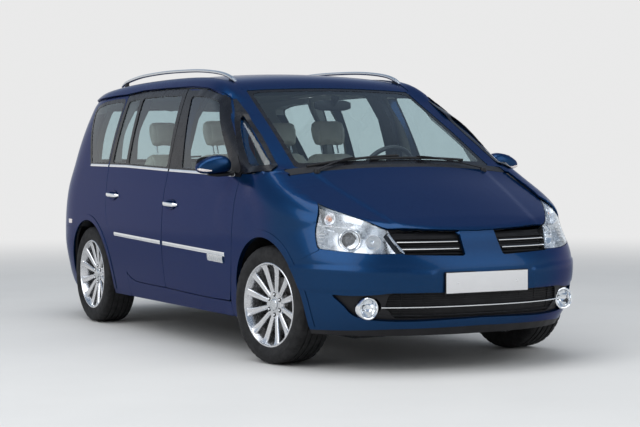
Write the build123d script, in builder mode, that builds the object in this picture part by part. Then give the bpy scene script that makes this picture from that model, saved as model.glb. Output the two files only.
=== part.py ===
from build123d import *
import os
from math import atan2, cos, hypot, pi, radians, sin, tan

import numpy as np

# People carrier, in millimetres: +X forward, +Y left, +Z up.
# The origin is on the ground, under the centre of the bounding box.

# Driving dimensions: overall
front_overhang = 909
wheelbase = 2803
rear_overhang = 949
body_width = 1860
body_height = 1700

# Wheels and tyres
tyre_radius = 335
tyre_width = 224
tyre_wall = 14
tyre_fit = 0.3
rim_radius = 240
rim_width = 208
rim_wall = 9
spoke_count = 12
spoke_width = 27
wheel_inset = 143
arch_gap = 49
arch_offset = 15
steer_rest = 9.5
kingpin_inset = 60

# Walls and gaps
door_wall = 85
frame_wall = 50
roof_wall = 40
skin_wall = 26
glass_inset = 6
glass_wall = 5
door_inner = 620
door_gap = 8
door_step = 8
panel_gap = 5
pillar_wall = 34

# The outline points below are written for a body with these proportions.
drawn_front = 909
drawn_wheelbase = 2803
drawn_rear = 949
drawn_width = 1860
drawn_height = 1700

axle_shift = (front_overhang - rear_overhang) / 2
front_axle_x = wheelbase / 2 - axle_shift
rear_axle_x = -wheelbase / 2 - axle_shift
drawn_front_axle = drawn_wheelbase / 2 - (drawn_front - drawn_rear) / 2
drawn_rear_axle = -drawn_wheelbase / 2 - (drawn_front - drawn_rear) / 2
wheel_y = body_width / 2 - wheel_inset
kingpin_y = wheel_y - kingpin_inset
arch_radius = tyre_radius + arch_gap
front_ratio = front_overhang / drawn_front
rear_ratio = rear_overhang / drawn_rear
width_ratio = body_width / drawn_width
height_ratio = body_height / drawn_height


def along(x):
    """Where a drawn lengthwise position lies on a body of these overhangs and this wheelbase."""
    if x > drawn_front_axle:
        return front_axle_x + (x - drawn_front_axle) * front_ratio
    if x < drawn_rear_axle:
        return rear_axle_x + (x - drawn_rear_axle) * rear_ratio
    return rear_axle_x + (x - drawn_rear_axle) * wheelbase / drawn_wheelbase


def across(y):
    return y * width_ratio


def up(z):
    return z * height_ratio


def smooth_curve(points):
    """A natural cubic curve through hand-set points."""
    xs, ys = (np.array(column, float) for column in zip(*points))
    steps = np.diff(xs)
    slopes = np.diff(ys) / steps
    matrix = np.eye(len(xs))
    right_side = np.zeros(len(xs))
    for i in range(1, len(xs) - 1):
        matrix[i, i - 1 : i + 2] = steps[i - 1], 2 * (steps[i - 1] + steps[i]), steps[i]
        right_side[i] = 6 * (slopes[i] - slopes[i - 1])
    bends = np.linalg.solve(matrix, right_side)

    def value(x):
        i = int(np.clip(np.searchsorted(xs, x) - 1, 0, len(steps) - 1))
        h, a, b = steps[i], xs[i + 1] - x, x - xs[i]
        cubic = (bends[i] * a**3 + bends[i + 1] * b**3) / (6 * h)
        return float(
            cubic + (ys[i] / h - bends[i] * h / 6) * a + (ys[i + 1] / h - bends[i + 1] * h / 6) * b
        )

    return value


def straight_curve(points):
    xs, ys = zip(*points)
    return lambda x: float(np.interp(x, xs, ys))


# Body shape. By height: half width, nose and tail. By length: roof line, crown and shoulder radius.
half_width = smooth_curve(
    [(150, 838), (300, 880), (450, 908), (600, 925), (720, 930), (850, 924), (960, 908),
     (1075, 878), (1200, 848), (1400, 792), (1550, 738), (1700, 672)]
)
nose = smooth_curve(
    [(150, 2190), (300, 2290), (420, 2322), (520, 2330), (600, 2318), (680, 2272), (760, 2225),
     (900, 2190), (1000, 2130), (1100, 2030), (1300, 1800), (1500, 1580), (1800, 1250)]
)
tail = smooth_curve(
    [(150, -2200), (300, -2285), (450, -2325), (560, -2330), (620, -2318), (800, -2290),
     (1000, -2262), (1250, -2205), (1500, -2110), (1800, -1960)]
)
roof_line = smooth_curve(
    [(-2400, 1400), (-2150, 1560), (-2000, 1612), (-1700, 1655), (-1200, 1688), (-600, 1700),
     (0, 1690), (250, 1668), (420, 1628), (560, 1560), (800, 1435), (1100, 1275), (1400, 1112),
     (1700, 985), (2000, 862), (2200, 778), (2400, 690)]
)
crown = straight_curve(
    [(-2300, 16e-5), (-1500, 12e-5), (0, 9e-5), (400, 75e-6), (700, 8e-5), (1350, 105e-6),
     (1700, 105e-6), (2200, 6e-5)]
)
shoulder = straight_curve(
    [(-2200, 60), (-1800, 80), (-1000, 80), (300, 90), (800, 95), (1350, 85), (1700, 70),
     (2000, 45), (2150, 25)]
)
nose_depth = straight_curve([(300, 750), (650, 800), (900, 880), (1100, 1050), (1500, 1150)])
nose_power = straight_curve([(300, 2.4), (700, 2.35), (900, 2.3)])
tail_depth = 700
tail_power = 3.0
side_bow = 0.018
form_levels = [150, 300, 420, 520, 600, 680, 760, 900, 1050, 1200, 1400, 1600, 1800]
form_stations = [
    -2400, -2200, -2050, -1850, -1500, -1000, -400, 0, 250, 420, 560, 800, 1100, 1350, 1600,
    1850, 2050, 2200, 2400,
]


def bow(x):
    return 1 - side_bow * ((x - 50) / 2000) ** 2


def plan_outline(z, inset):
    """Half of the body's outline at one height, from the middle of the tail to that of the nose."""
    width = half_width(z) - inset / width_ratio
    front = nose(z) - inset / front_ratio
    back = tail(z) + inset / rear_ratio
    depth = nose_depth(z)
    power = nose_power(z)
    corner_steps = 7
    points = []
    for k in range(corner_steps + 1):
        turn = pi / 2 * k / corner_steps
        x = back + tail_depth * (1 - cos(turn) ** (2 / tail_power))
        points.append((x, width * bow(x) * sin(turn) ** (2 / tail_power)))
    for share in (0.25, 0.5, 0.75):
        x = (back + tail_depth) * (1 - share) + (front - depth) * share
        points.append((x, width * bow(x)))
    for k in reversed(range(corner_steps + 1)):
        turn = pi / 2 * k / corner_steps
        x = front - depth * (1 - cos(turn) ** (2 / power))
        points.append((x, width * bow(x) * sin(turn) ** (2 / power)))
    return [(along(x), across(max(y, 0))) for x, y in points]


def side_y(x, z, inset):
    """Half width at a length and a height."""
    y = (half_width(z) - inset / width_ratio) * bow(x)
    front = nose(z) - inset / front_ratio - nose_depth(z)
    back = tail(z) + inset / rear_ratio + tail_depth
    if x > front:
        power = nose_power(z)
        y *= max(1 - ((x - front) / nose_depth(z)) ** power, 0) ** (1 / power)
    if x < back:
        y *= max(1 - ((back - x) / tail_depth) ** tail_power, 0) ** (1 / tail_power)
    return y


def roof_section(x, inset, lower):
    """Half of the body's section at one length: crowned top, round shoulder, and its lean below."""
    radius = max(shoulder(x) - lower, 15)
    bulge = 0.1 * radius
    least_y = 420 if x > 0 else 520
    centre_y = 600
    top = roof_line(x) - lower / height_ratio
    for _ in range(12):
        fall = atan2(2 * crown(x) * centre_y, 1)
        centre_z = top - crown(x) * centre_y**2 - radius * cos(fall)
        wall = max(side_y(x, centre_z, inset), least_y)
        leans = [(side_y(x, centre_z - drop, inset) - wall) / drop for drop in (40, 150, 350, 600)]
        lean = atan2(max(0, *leans), 1)
        centre_y = wall + bulge - radius / cos(lean)
    rim_y = centre_y + radius * sin(fall)
    points = [(share * rim_y, top - crown(x) * (share * rim_y) ** 2) for share in (0, 0.3, 0.6, 0.85)]
    shoulder_steps = 5
    for k in range(shoulder_steps + 1):
        turn = (pi / 2 - fall) * (1 - k / shoulder_steps) + lean * k / shoulder_steps
        points.append((centre_y + radius * cos(turn), centre_z + radius * sin(turn)))
    foot_y, foot_z = points[-1]
    drop = foot_z + 60
    points.append((foot_y + drop * tan(lean), foot_z - drop))
    return [(across(y), up(z)) for y, z in points]


def wall_inset(z):
    """The side walls are as thick as a door below the belt, and as a window frame above it."""
    return float(np.interp(z, [1000, 1180], [door_wall, frame_wall]))


def chord_shares(points):
    """How far along a line each of its points lies, from 0 to 1."""
    lengths = [0.0]
    for (x0, y0), (x1, y1) in zip(points, points[1:]):
        lengths.append(lengths[-1] + hypot(x1 - x0, y1 - y0))
    return [length / lengths[-1] for length in lengths]


def two_sided(half):
    """A full line across the body, from the points of its left half, the middle first."""
    return [(-y, z) for y, z in reversed(half[1:])] + half


def plan_edge(points, shares):
    """A line through a plan outline's points, square to the middle plane at both ends."""
    start = points[1][1] / shares[1]
    end = points[-2][1] / (1 - shares[-2])
    return Edge.make_spline(points, tangents=((0, start), (0, -end)), parameters=shares, scale=False)


def body_form(inset_at, lower):
    """The body's closed shape, drawn in by inset_at(height) and lowered at the top.

    All lines of one loft share their parameters, so that its faces stay simple.
    """
    plan_shares = chord_shares(plan_outline(600, 0))
    roof_shares = chord_shares(two_sided(roof_section(0, 0, 0)[:-1]))
    with BuildPart() as sides:
        for z in form_levels:
            with BuildSketch(Plane.XY.offset(up(z))):
                with BuildLine():
                    half = plan_edge(plan_outline(z, inset_at(z)), plan_shares)
                    add(half)
                    mirror(half, about=Plane.XZ)
                make_face()
        loft()
    with BuildPart() as form:
        for x in form_stations:
            half = roof_section(x, inset_at(roof_line(x)), lower)
            line = two_sided(half[:-1])
            foot_y, foot_z = half[-1]
            with BuildSketch(Plane(origin=(along(x), 0, 0), x_dir=(0, 1, 0), z_dir=(1, 0, 0))):
                with BuildLine():
                    add(Edge.make_spline(line, parameters=roof_shares))
                    Polyline(line[-1], (foot_y, foot_z), (-foot_y, foot_z), line[0])
                make_face()
        loft()
        add(sides.part, mode=Mode.INTERSECT)
    return form.part


# Cutters: prisms that reach through the body, with outlines in drawn sizes
def outline_sketch(points, corner, margin):
    with BuildSketch() as shape:
        with BuildLine():
            Polyline(*points, close=True)
        make_face()
        if corner:
            fillet(shape.vertices(), corner)
        if margin:
            offset(amount=margin, kind=Kind.INTERSECTION)
    return shape.sketch


def side_cutter(points, corner=0, margin=0, inner=300, outer=1100):
    """A prism through the left side wall, from (x, z) points of its side view."""
    placed = [(along(x), up(z)) for x, z in points]
    with BuildPart() as cutter:
        with BuildSketch(Plane.XZ.offset(-across(outer))):
            add(outline_sketch(placed, corner, margin))
        extrude(amount=across(outer - inner))
    return cutter.part


def plan_cutter(half_points, corner=0, margin=0, low=500):
    """An upright prism, mirrored left to right, from (x, y) points of its left half."""
    placed = [(along(x), across(y)) for x, y in half_points]
    placed += [(x, -y) for x, y in reversed(placed) if y]
    with BuildPart() as cutter:
        with BuildSketch(Plane.XY.offset(up(low))):
            add(outline_sketch(placed, corner, margin))
        extrude(amount=up(2000 - low))
    return cutter.part


def front_cutter(points, x_from, x_to, corner=0, margin=0):
    """A lengthwise prism from (y, z) points of the front view."""
    placed = [(across(y), up(z)) for y, z in points]
    with BuildPart() as cutter:
        with BuildSketch(Plane.YZ.offset(along(x_from))):
            add(outline_sketch(placed, corner, margin))
        extrude(amount=along(x_to) - along(x_from))
    return cutter.part


def arch_cutter(axle_x, radius, y_from=300):
    with BuildPart() as cutter:
        with BuildSketch(Plane.XZ.offset(-across(1100))):
            with Locations((axle_x, tyre_radius)):
                Circle(radius)
            with Locations((axle_x, tyre_radius - radius)):
                Rectangle(2 * radius, 2 * radius)
        extrude(amount=across(1100 - y_from))
    return cutter.part


def mirrored(part):
    """The right-hand twin of a left-hand piece."""
    with BuildPart() as twin:
        add(mirror(part, about=Plane.XZ, mode=Mode.PRIVATE))
    return twin.part


def write(part, name):
    part.label = name
    os.makedirs("parts", exist_ok=True)
    export_step(part, f"parts/{name}.step")


def write_pair(part, name):
    """Both twins in one node."""
    with BuildPart() as both:
        add(part)
        mirror(part, about=Plane.XZ)
    write(both.part, name)


# Side-view outlines of the left side, as (x, z)
front_door_outline = [
    (1079, 1070), (1070, 930), (1058, 780), (1045, 660), (1010, 520), (968, 395), (930, 325),
    (640, 322), (300, 328), (-31, 336), (-10, 572), (15, 764), (16, 953), (9, 1066), (-2, 1300),
    (-26, 1588), (58, 1590), (300, 1574), (430, 1547), (514, 1528), (572, 1505), (700, 1420),
    (854, 1300), (981, 1183),
]
rear_door_outline = [
    (-4, 1066), (3, 953), (2, 764), (-22, 572), (-39, 336), (-300, 338), (-540, 342), (-633, 362),
    (-717, 418), (-808, 510), (-885, 592), (-945, 656), (-983, 725), (-1000, 810), (-1019, 933),
    (-1050, 1014), (-1070, 1090), (-1064, 1300), (-1050, 1574), (-782, 1590), (-400, 1593),
    (-42, 1590), (-14, 1300),
]
side_frame_outline = [
    (1405, 1068), (1090, 1072), (989, 1190), (861, 1308), (706, 1430), (576, 1514), (516, 1538),
    (431, 1557), (301, 1584), (58, 1600), (-400, 1603), (-782, 1600), (-1065, 1582), (-1300, 1577),
    (-1700, 1560), (-2030, 1530), (-2500, 1500), (-2500, 1850), (1405, 1850),
]
quarter_outline = [
    (-1061, 1576), (-1074, 1300), (-1080, 1092), (-1060, 1010), (-1028, 931), (-1009, 812),
    (-992, 727), (-953, 661), (-892, 598), (-815, 517), (-724, 425), (-690, 400), (-690, 232),
    (-1400, 232), (-1400, 662), (-2500, 662), (-2500, 1494), (-2030, 1524), (-1700, 1554),
    (-1300, 1571),
]
fender_outline = [
    (1088, 1062), (1079, 930), (1067, 779), (1054, 658), (1019, 517), (977, 391), (948, 325),
    (948, 232), (1436, 232), (1436, 561), (1700, 561), (1798, 597), (1921, 665), (1921, 1300),
    (1400, 1300), (1400, 1062),
]
sill_outline = [
    (942, 314), (640, 313), (300, 319), (-31, 327), (-300, 329), (-540, 333), (-638, 353),
    (-684, 388), (-684, 232), (942, 232),
]
front_bumper_outline = [
    (1700, 205), (1700, 556), (1798, 592), (1926, 660), (1926, 1100), (2500, 1100), (2500, 205),
]
rear_bumper_outline = [(-1500, 232), (-1500, 656), (-2500, 656), (-2500, 232)]
front_door_window = [(200, 1087), (58, 1550), (300, 1539), (470, 1512), (545, 1485), (960, 1072)]
rear_door_window = [(-25, 1090), (-87, 1556), (-400, 1560), (-765, 1556), (-725, 1108)]
rear_door_pane = [(-755, 1109), (-797, 1555), (-1010, 1540), (-1022, 1112)]
front_quarter_window = [
    (752, 1415), (829, 1352), (1037, 1189), (1125, 1124), (1185, 1100), (1300, 1097), (1257, 1128),
    (1066, 1243), (840, 1374),
]
rear_quarter_window = [
    (-1104, 1114), (-1090, 1538), (-1300, 1535), (-1500, 1524), (-1610, 1500), (-1636, 1465),
    (-1590, 1350), (-1440, 1112),
]
window_corner = 14
quarter_window_inner = 690

# Plan outlines of the left half, as (x, y)
hood_outline = [
    (1442, 0), (1428, 400), (1402, 738), (1600, 752), (1790, 722), (1950, 632), (2074, 552),
    (2118, 505), (2190, 300), (2224, 0),
]
cowl_outline = [
    (1434, 0), (1420, 400), (1394, 732), (1340, 732), (1340, 660), (1376, 400), (1394, 0),
]
windscreen_outline = [(1388, 0), (1370, 400), (1334, 654), (503, 568), (512, 300), (515, 0)]
roof_outline = [
    (509, 0), (506, 300), (497, 590), (-1850, 590), (-1935, 500), (-1995, 400), (-2026, 300),
    (-2048, 0),
]

# Front-view and rear-view outlines, as (y, z)
tailgate_outline = [(0, 1700), (575, 1700), (575, 1450), (622, 1050), (652, 690), (648, 662), (0, 662)]
tailgate_window = [(0, 1108), (548, 1112), (512, 1470), (480, 1512), (0, 1524)]
headlamp_outline = [
    (760, 1100), (806, 800), (812, 672), (620, 646), (446, 650), (505, 757), (505, 1100),
]
tail_lamp_outline = [(634, 1045), (592, 1440), (640, 1440), (732, 1045)]
grille_outline = [(112, 655), (104, 850), (508, 850), (508, 752), (452, 655)]
lower_grille_outline = [(0, 290), (500, 290), (560, 360), (545, 438), (0, 438)]
fog_y = 632
fog_z = 357
fog_radius = 74
hood_low = 737
roof_low = 1480
lamp_from_x = 1640
nose_from_x = 1900
end_x = 2500
tail_lamp_from_x = -1880
tailgate_from_x = -1700

# Structure
floor_z = 250
floor_sheet = 22
floor_side_gap = 75
floor_half = body_width / 2 - door_wall - floor_side_gap
load_floor_z = 480
load_floor_gap = 39
load_floor_half = wheel_y - tyre_width / 2 - load_floor_gap
load_floor_front = -1000
bulkhead_x = 1000
bulkhead_top = 905
rail_gap = 262
rail_half = kingpin_y - rail_gap
rail_wall = 16
rail_top = 740
rail_front = 1900
liner_gap = 16
liner_sheet = 5

# Suspension and brakes
knuckle_drop = 153
knuckle_rise = 150
knuckle_low = tyre_radius - knuckle_drop
knuckle_top = tyre_radius + knuckle_rise
knuckle_depth = 40
knuckle_length = 70
hub_radius = 44
hub_inner = 130
disc_radius = 150
disc_sheet = 24
disc_offset = 8
caliper_gap = 6
arm_sheet = 24
damper_gap = 142
damper_y = kingpin_y - damper_gap
subframe_gap = 35
subframe_half = rail_half - subframe_gap
arm_gap = 60
rear_arm_y = wheel_y - tyre_width / 2 - arm_gap
damper_radius = 26
spring_radius = 48
tower_top = 880

# Cabin
seat_width = 500
seat_y = 400
front_seat_x = 20
rear_seat_x = -800
rear_seat_width = 430
rear_seat_pitch = 460
steering_centre = (585, 380, 1045)
steering_tilt = 24
steering_radius = 185
steering_grip = 15


def both_sides(half):
    return half + [(-y, z) for y, z in reversed(half) if y]


def shell_piece(block, back, cuts=(), front=None):
    """The part of the body's shell, from its outside in to the back form, that a cutter block holds."""
    with BuildPart() as piece:
        add(block)
        for cut in cuts:
            add(cut, mode=Mode.SUBTRACT)
        add(front or outer, mode=Mode.INTERSECT)
        add(back, mode=Mode.SUBTRACT)
    return piece.part


def behind_skin(cutter):
    """The part of a cutter that lies inside the outer skin."""
    with BuildPart() as kept:
        add(cutter)
        add(skin_back, mode=Mode.INTERSECT)
    return kept.part


def pane(block):
    return shell_piece(block, glass_back, front=glass_front)


def join(*parts):
    with BuildPart() as group:
        for part in parts:
            add(part)
    return group.part


def block(x_span, y_span, z_span):
    """A box from its spans along X, Y and Z."""
    spans = (x_span, y_span, z_span)
    with BuildPart() as box:
        with Locations(tuple((low + high) / 2 for low, high in spans)):
            Box(*(high - low for low, high in spans))
    return box.part


outer = body_form(lambda z: 0, 0)
skin_back = body_form(lambda z: skin_wall, skin_wall)
lining = body_form(wall_inset, roof_wall)
glass_front = body_form(lambda z: glass_inset, glass_inset)
glass_back = body_form(lambda z: glass_inset + glass_wall, glass_inset + glass_wall)
front_arch_x = front_axle_x + arch_offset
rear_arch_x = rear_axle_x + arch_offset
front_arch = arch_cutter(front_arch_x, arch_radius)
rear_arch = arch_cutter(rear_arch_x, arch_radius)


def make_doors():
    front_hole = side_cutter(front_door_window, window_corner)
    rear_holes = [side_cutter(hole, window_corner) for hole in (rear_door_window, rear_door_pane)]
    front_block = side_cutter(front_door_outline, inner=door_inner)
    rear_block = side_cutter(rear_door_outline, inner=door_inner)
    step = behind_skin(side_cutter(rear_door_outline, margin=door_gap + door_step))
    front = shell_piece(front_block, lining, [front_hole, front_arch, step])
    rear = shell_piece(rear_block, lining, [*rear_holes, rear_arch])
    rear_glass = join(*(pane(hole) for hole in rear_holes))
    for piece, sheet, name in ((front, pane(front_hole), "front"), (rear, rear_glass, "rear")):
        write(piece, f"{name}_left_door")
        write(mirrored(piece), f"{name}_right_door")
        write(sheet, f"{name}_left_glass")
        write(mirrored(sheet), f"{name}_right_glass")


def make_side_frames():
    """A-pillars and cant rails, from the cowl to the rear pillar, with the quarter windows cut."""
    cuts = [
        side_cutter(front_quarter_window, inner=quarter_window_inner),
        plan_cutter(windscreen_outline, margin=panel_gap),
        plan_cutter(roof_outline, margin=panel_gap, low=roof_low - panel_gap),
        plan_cutter(cowl_outline, margin=panel_gap),
        plan_cutter(hood_outline, margin=door_gap),
        front_cutter(both_sides(tailgate_outline), -end_x, tailgate_from_x, margin=door_gap),
    ]
    write_pair(shell_piece(side_cutter(side_frame_outline), lining, cuts), "side_frames")


def make_quarter_panels():
    cuts = [
        side_cutter(rear_quarter_window, window_corner),
        side_cutter(rear_door_outline, margin=door_gap),
        behind_skin(side_cutter(rear_door_outline, margin=door_gap + door_step)),
        plan_cutter(roof_outline, margin=panel_gap, low=roof_low - panel_gap),
        rear_arch,
        front_cutter(both_sides(tailgate_outline), -end_x, tailgate_from_x, margin=door_gap),
        front_cutter(tail_lamp_outline, -end_x, tail_lamp_from_x, margin=panel_gap),
    ]
    write_pair(shell_piece(side_cutter(quarter_outline), lining, cuts), "quarter_panels")
    front_pane = pane(side_cutter(front_quarter_window, inner=quarter_window_inner))
    write_pair(join(front_pane, pane(side_cutter(rear_quarter_window, window_corner))), "quarter_glass")


def make_fenders():
    cuts = [
        plan_cutter(hood_outline, margin=door_gap),
        plan_cutter(cowl_outline, margin=panel_gap),
        front_cutter(headlamp_outline, lamp_from_x, end_x, margin=panel_gap),
        front_arch,
    ]
    write_pair(shell_piece(side_cutter(fender_outline), skin_back, cuts), "front_fenders")


def make_sills():
    cuts = [front_arch, rear_arch]
    write_pair(shell_piece(side_cutter(sill_outline), lining, cuts), "sills")


def make_centre_pillars():
    """The posts between the doors, inside them, that reach from the floor to the cant rails."""
    foot = (floor_z + floor_sheet) / height_ratio
    heights = (foot, 420, 600, 850, 1066, 1200, 1400)
    outside = [(side_y(-92, z, wall_inset(z)) - 1.5 * door_gap / width_ratio, z) for z in heights]
    lean_y = outside[-1][0]
    outside += [(lean_y - 62, 1500), (lean_y - 125, 1592)]
    points = outside + [(y - pillar_wall / width_ratio, z) for y, z in reversed(outside)]
    with BuildPart() as pillar:
        with BuildSketch(Plane.YZ.offset(along(-92))):
            add(outline_sketch([(across(y), up(z)) for y, z in points], 0, 0))
        extrude(amount=along(64) - along(-92))
    write_pair(pillar.part, "centre_pillars")


def make_top_panels():
    write(shell_piece(plan_cutter(roof_outline, low=roof_low), lining), "roof_panel")
    write(shell_piece(plan_cutter(hood_outline, low=hood_low + door_gap), skin_back), "hood")
    write(shell_piece(plan_cutter(cowl_outline, low=900), skin_back), "cowl_panel")
    write(pane(plan_cutter(windscreen_outline, low=900)), "windscreen")


def make_tailgate():
    hole = front_cutter(both_sides(tailgate_window), -end_x, tailgate_from_x, corner=30)
    gate = front_cutter(both_sides(tailgate_outline), -end_x, tailgate_from_x)
    roof_cut = plan_cutter(roof_outline, margin=door_gap, low=roof_low - door_gap)
    write(shell_piece(gate, lining, [hole, roof_cut]), "tailgate")
    write(pane(hole), "tailgate_glass")


def make_lamps():
    hood_cut = plan_cutter(hood_outline, margin=door_gap)
    head_block = front_cutter(headlamp_outline, lamp_from_x, end_x)
    liner_cut = arch_cutter(front_arch_x, arch_radius + liner_gap + liner_sheet + panel_gap)
    headlamp = shell_piece(head_block, lining, [hood_cut, liner_cut])
    with BuildPart() as fog:
        with BuildSketch(Plane.YZ.offset(along(nose_from_x))):
            with Locations((across(fog_y), up(fog_z))):
                Circle(fog_radius - panel_gap)
        extrude(amount=along(end_x) - along(nose_from_x))
    fog_lamp = shell_piece(fog.part, lining)
    write_pair(headlamp, "headlamps")
    write_pair(fog_lamp, "fog_lamps")
    tail_block = front_cutter(tail_lamp_outline, -end_x, tail_lamp_from_x)
    write_pair(shell_piece(tail_block, lining), "tail_lamps")


def make_bumpers():
    with BuildPart() as fog_holes:
        with BuildSketch(Plane.YZ.offset(along(nose_from_x))):
            with Locations((across(fog_y), up(fog_z)), (-across(fog_y), up(fog_z))):
                Circle(fog_radius)
        extrude(amount=along(end_x) - along(nose_from_x))
    side_block = side_cutter(front_bumper_outline, inner=-1100)
    cuts = [plan_cutter(hood_outline, margin=door_gap, low=hood_low), fog_holes.part]
    cuts.append(front_cutter(both_sides(lower_grille_outline), nose_from_x, end_x))
    for outline, from_x, margin in (
        (headlamp_outline, lamp_from_x, panel_gap),
        (grille_outline, nose_from_x, 0),
    ):
        cuts.append(front_cutter(outline, from_x, end_x, margin=margin))
        cuts.append(mirrored(cuts[-1]))
    cuts += [front_arch, mirrored(front_arch)]
    write(shell_piece(side_block, skin_back, cuts), "front_bumper")
    rear_block = side_cutter(rear_bumper_outline, inner=-1100)
    write(shell_piece(rear_block, skin_back, [rear_arch, mirrored(rear_arch)]), "rear_bumper")
    with BuildPart() as insert:
        for outline in (grille_outline, [(-y, z) for y, z in reversed(grille_outline)]):
            add(front_cutter(outline, nose_from_x, end_x))
        add(front_cutter(both_sides(lower_grille_outline), nose_from_x, end_x))
        add(plan_cutter(hood_outline, margin=door_gap, low=hood_low), mode=Mode.SUBTRACT)
        for side in (1, -1):
            lamp = front_cutter(headlamp_outline, lamp_from_x, end_x, margin=panel_gap)
            add(lamp if side > 0 else mirrored(lamp), mode=Mode.SUBTRACT)
    write(shell_piece(insert.part, lining, front=skin_back), "grilles")


def half_ring(axle_x, inner_radius, sheet, y_span):
    """A half-round sheet over a wheel."""
    low, high = y_span
    with BuildPart() as ring:
        with BuildSketch(Plane.XZ.offset(-high)):
            with Locations((axle_x, tyre_radius)):
                Circle(inner_radius + sheet)
                Circle(inner_radius, mode=Mode.SUBTRACT)
            with Locations((axle_x, tyre_radius - inner_radius)):
                Rectangle(3 * inner_radius, 2 * inner_radius, mode=Mode.SUBTRACT)
        extrude(amount=high - low)
    return ring.part


def make_liners():
    radius = arch_radius + liner_gap
    with BuildPart() as front:
        add(half_ring(front_arch_x, radius, liner_sheet, (rail_half + 2, across(900))))
        with Locations((front_axle_x, damper_y, tyre_radius + radius)):
            Cylinder(spring_radius + 8, radius / 2, mode=Mode.SUBTRACT)
        add(skin_back, mode=Mode.INTERSECT)
    with BuildPart() as rear:
        add(half_ring(rear_arch_x, radius, liner_sheet, (load_floor_half + 2, across(900))))
        with BuildSketch(Plane.XZ.offset(-(load_floor_half + 2 + liner_sheet))):
            with Locations((rear_arch_x, tyre_radius)):
                Circle(radius)
            with Locations((rear_arch_x, tyre_radius - radius)):
                Rectangle(3 * radius, 2 * radius, mode=Mode.SUBTRACT)
        extrude(amount=liner_sheet)
        axle_slot = (rear_axle_x - 70, rear_axle_x + 70)
        slot = block(axle_slot, (rear_arm_y - 15, rear_arm_y + 85), (tyre_radius - 5, tyre_radius + 60))
        add(slot, mode=Mode.SUBTRACT)
        add(lining, mode=Mode.INTERSECT)
    write_pair(join(front.part, rear.part), "wheel_liners")


def make_floor():
    """Cabin floor, step and load floor, bulkhead, and the rails that carry the engine."""
    top = floor_z + floor_sheet
    floor_side = floor_half
    load_side = load_floor_half
    step_x = along(load_floor_front)
    front_x = along(bulkhead_x)
    with BuildPart() as pan:
        add(block((step_x, front_x + floor_sheet), (-floor_side, floor_side), (floor_z, top)))
        add(block((step_x - floor_sheet, step_x), (-load_side, load_side), (floor_z, load_floor_z)))
        half = [(step_x, load_side), (along(-2040), load_side), (along(-2130), across(480))]
        with BuildSketch(Plane.XY.offset(load_floor_z - floor_sheet)):
            add(outline_sketch(half + [(x, -y) for x, y in reversed(half)], 0, 0))
        extrude(amount=floor_sheet)
        add(block((front_x, front_x + floor_sheet), (-floor_side, floor_side), (top, up(bulkhead_top))))
        for side in (1, -1):
            wall = sorted((side * rail_half, side * (rail_half - rail_wall)))
            add(block((front_x + floor_sheet, along(rail_front)), wall, (floor_z, up(rail_top))))
        brace = (along(rail_front), along(rail_front) + floor_sheet)
        add(block(brace, (-rail_half, rail_half), (floor_z, up(rail_top))))
    write(pan.part, "floor_pan")


def make_tyre():
    half = tyre_width / 2
    bead = rim_width / 2 - rim_wall - tyre_fit
    seat = rim_radius - 12 + tyre_fit
    shoulder_y = half - 30
    shoulder_z = tyre_radius - 3
    flange = rim_radius + 3
    outside = [(bead, flange), (half - 4, flange + 20), (half, flange + 44), (half - 8, tyre_radius - 24)]
    inside = [(y - tyre_wall, z) for y, z in outside]
    with BuildPart() as tyre:
        with BuildSketch(Plane.YZ):
            with BuildLine():
                outer_wall = Spline(*outside, (shoulder_y, shoulder_z))
                inner_wall = Spline(*inside, (shoulder_y - 12, shoulder_z - tyre_wall))
                tread = Line(outer_wall @ 1, (0, tyre_radius))
                band = Line(inner_wall @ 1, (0, tyre_radius - tyre_wall))
                Line(tread @ 1, band @ 1)
                Polyline(outer_wall @ 0, (bead, seat), (bead - tyre_wall, seat), inner_wall @ 0)
            make_face()
            mirror(about=Plane.YZ)
        revolve(axis=Axis.Y)
    return tyre.part


def make_wheel():
    """Barrel, twelve spokes and brake disc of one wheel, outside towards +Y."""
    half = rim_width / 2
    barrel = rim_radius - 12
    face_y = half - 22
    window_inner = 92
    window_outer = barrel - 24
    inner_half = window_inner * sin(pi / spoke_count) - spoke_width / 2
    outer_half = window_outer * sin(pi / spoke_count) - spoke_width / 2
    with BuildPart() as wheel:
        with BuildSketch(Plane.YZ):
            with BuildLine():
                Polyline(
                    (-half, rim_radius), (-half + rim_wall, rim_radius), (-half + rim_wall, barrel),
                    (half - rim_wall, barrel), (half - rim_wall, rim_radius), (half, rim_radius),
                    (half, barrel - rim_wall), (-half, barrel - rim_wall), close=True,
                )
            make_face()
        revolve(axis=Axis.Y)
        with BuildSketch(Plane.XZ.offset(-face_y)):
            Circle(barrel - 1)
            with PolarLocations(0, spoke_count):
                Polygon(
                    (window_inner, -inner_half), (window_outer, -outer_half), (window_outer, outer_half),
                    (window_inner, inner_half), align=None, mode=Mode.SUBTRACT,
                )
        extrude(amount=26)
        with BuildSketch(Plane.XZ.offset(-(face_y - 20))):
            Circle(70)
        extrude(amount=face_y - 20 + disc_offset)
        with BuildSketch(Plane.XZ.offset(disc_offset)):
            Circle(disc_radius)
        extrude(amount=disc_sheet)
    return wheel.part


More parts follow.
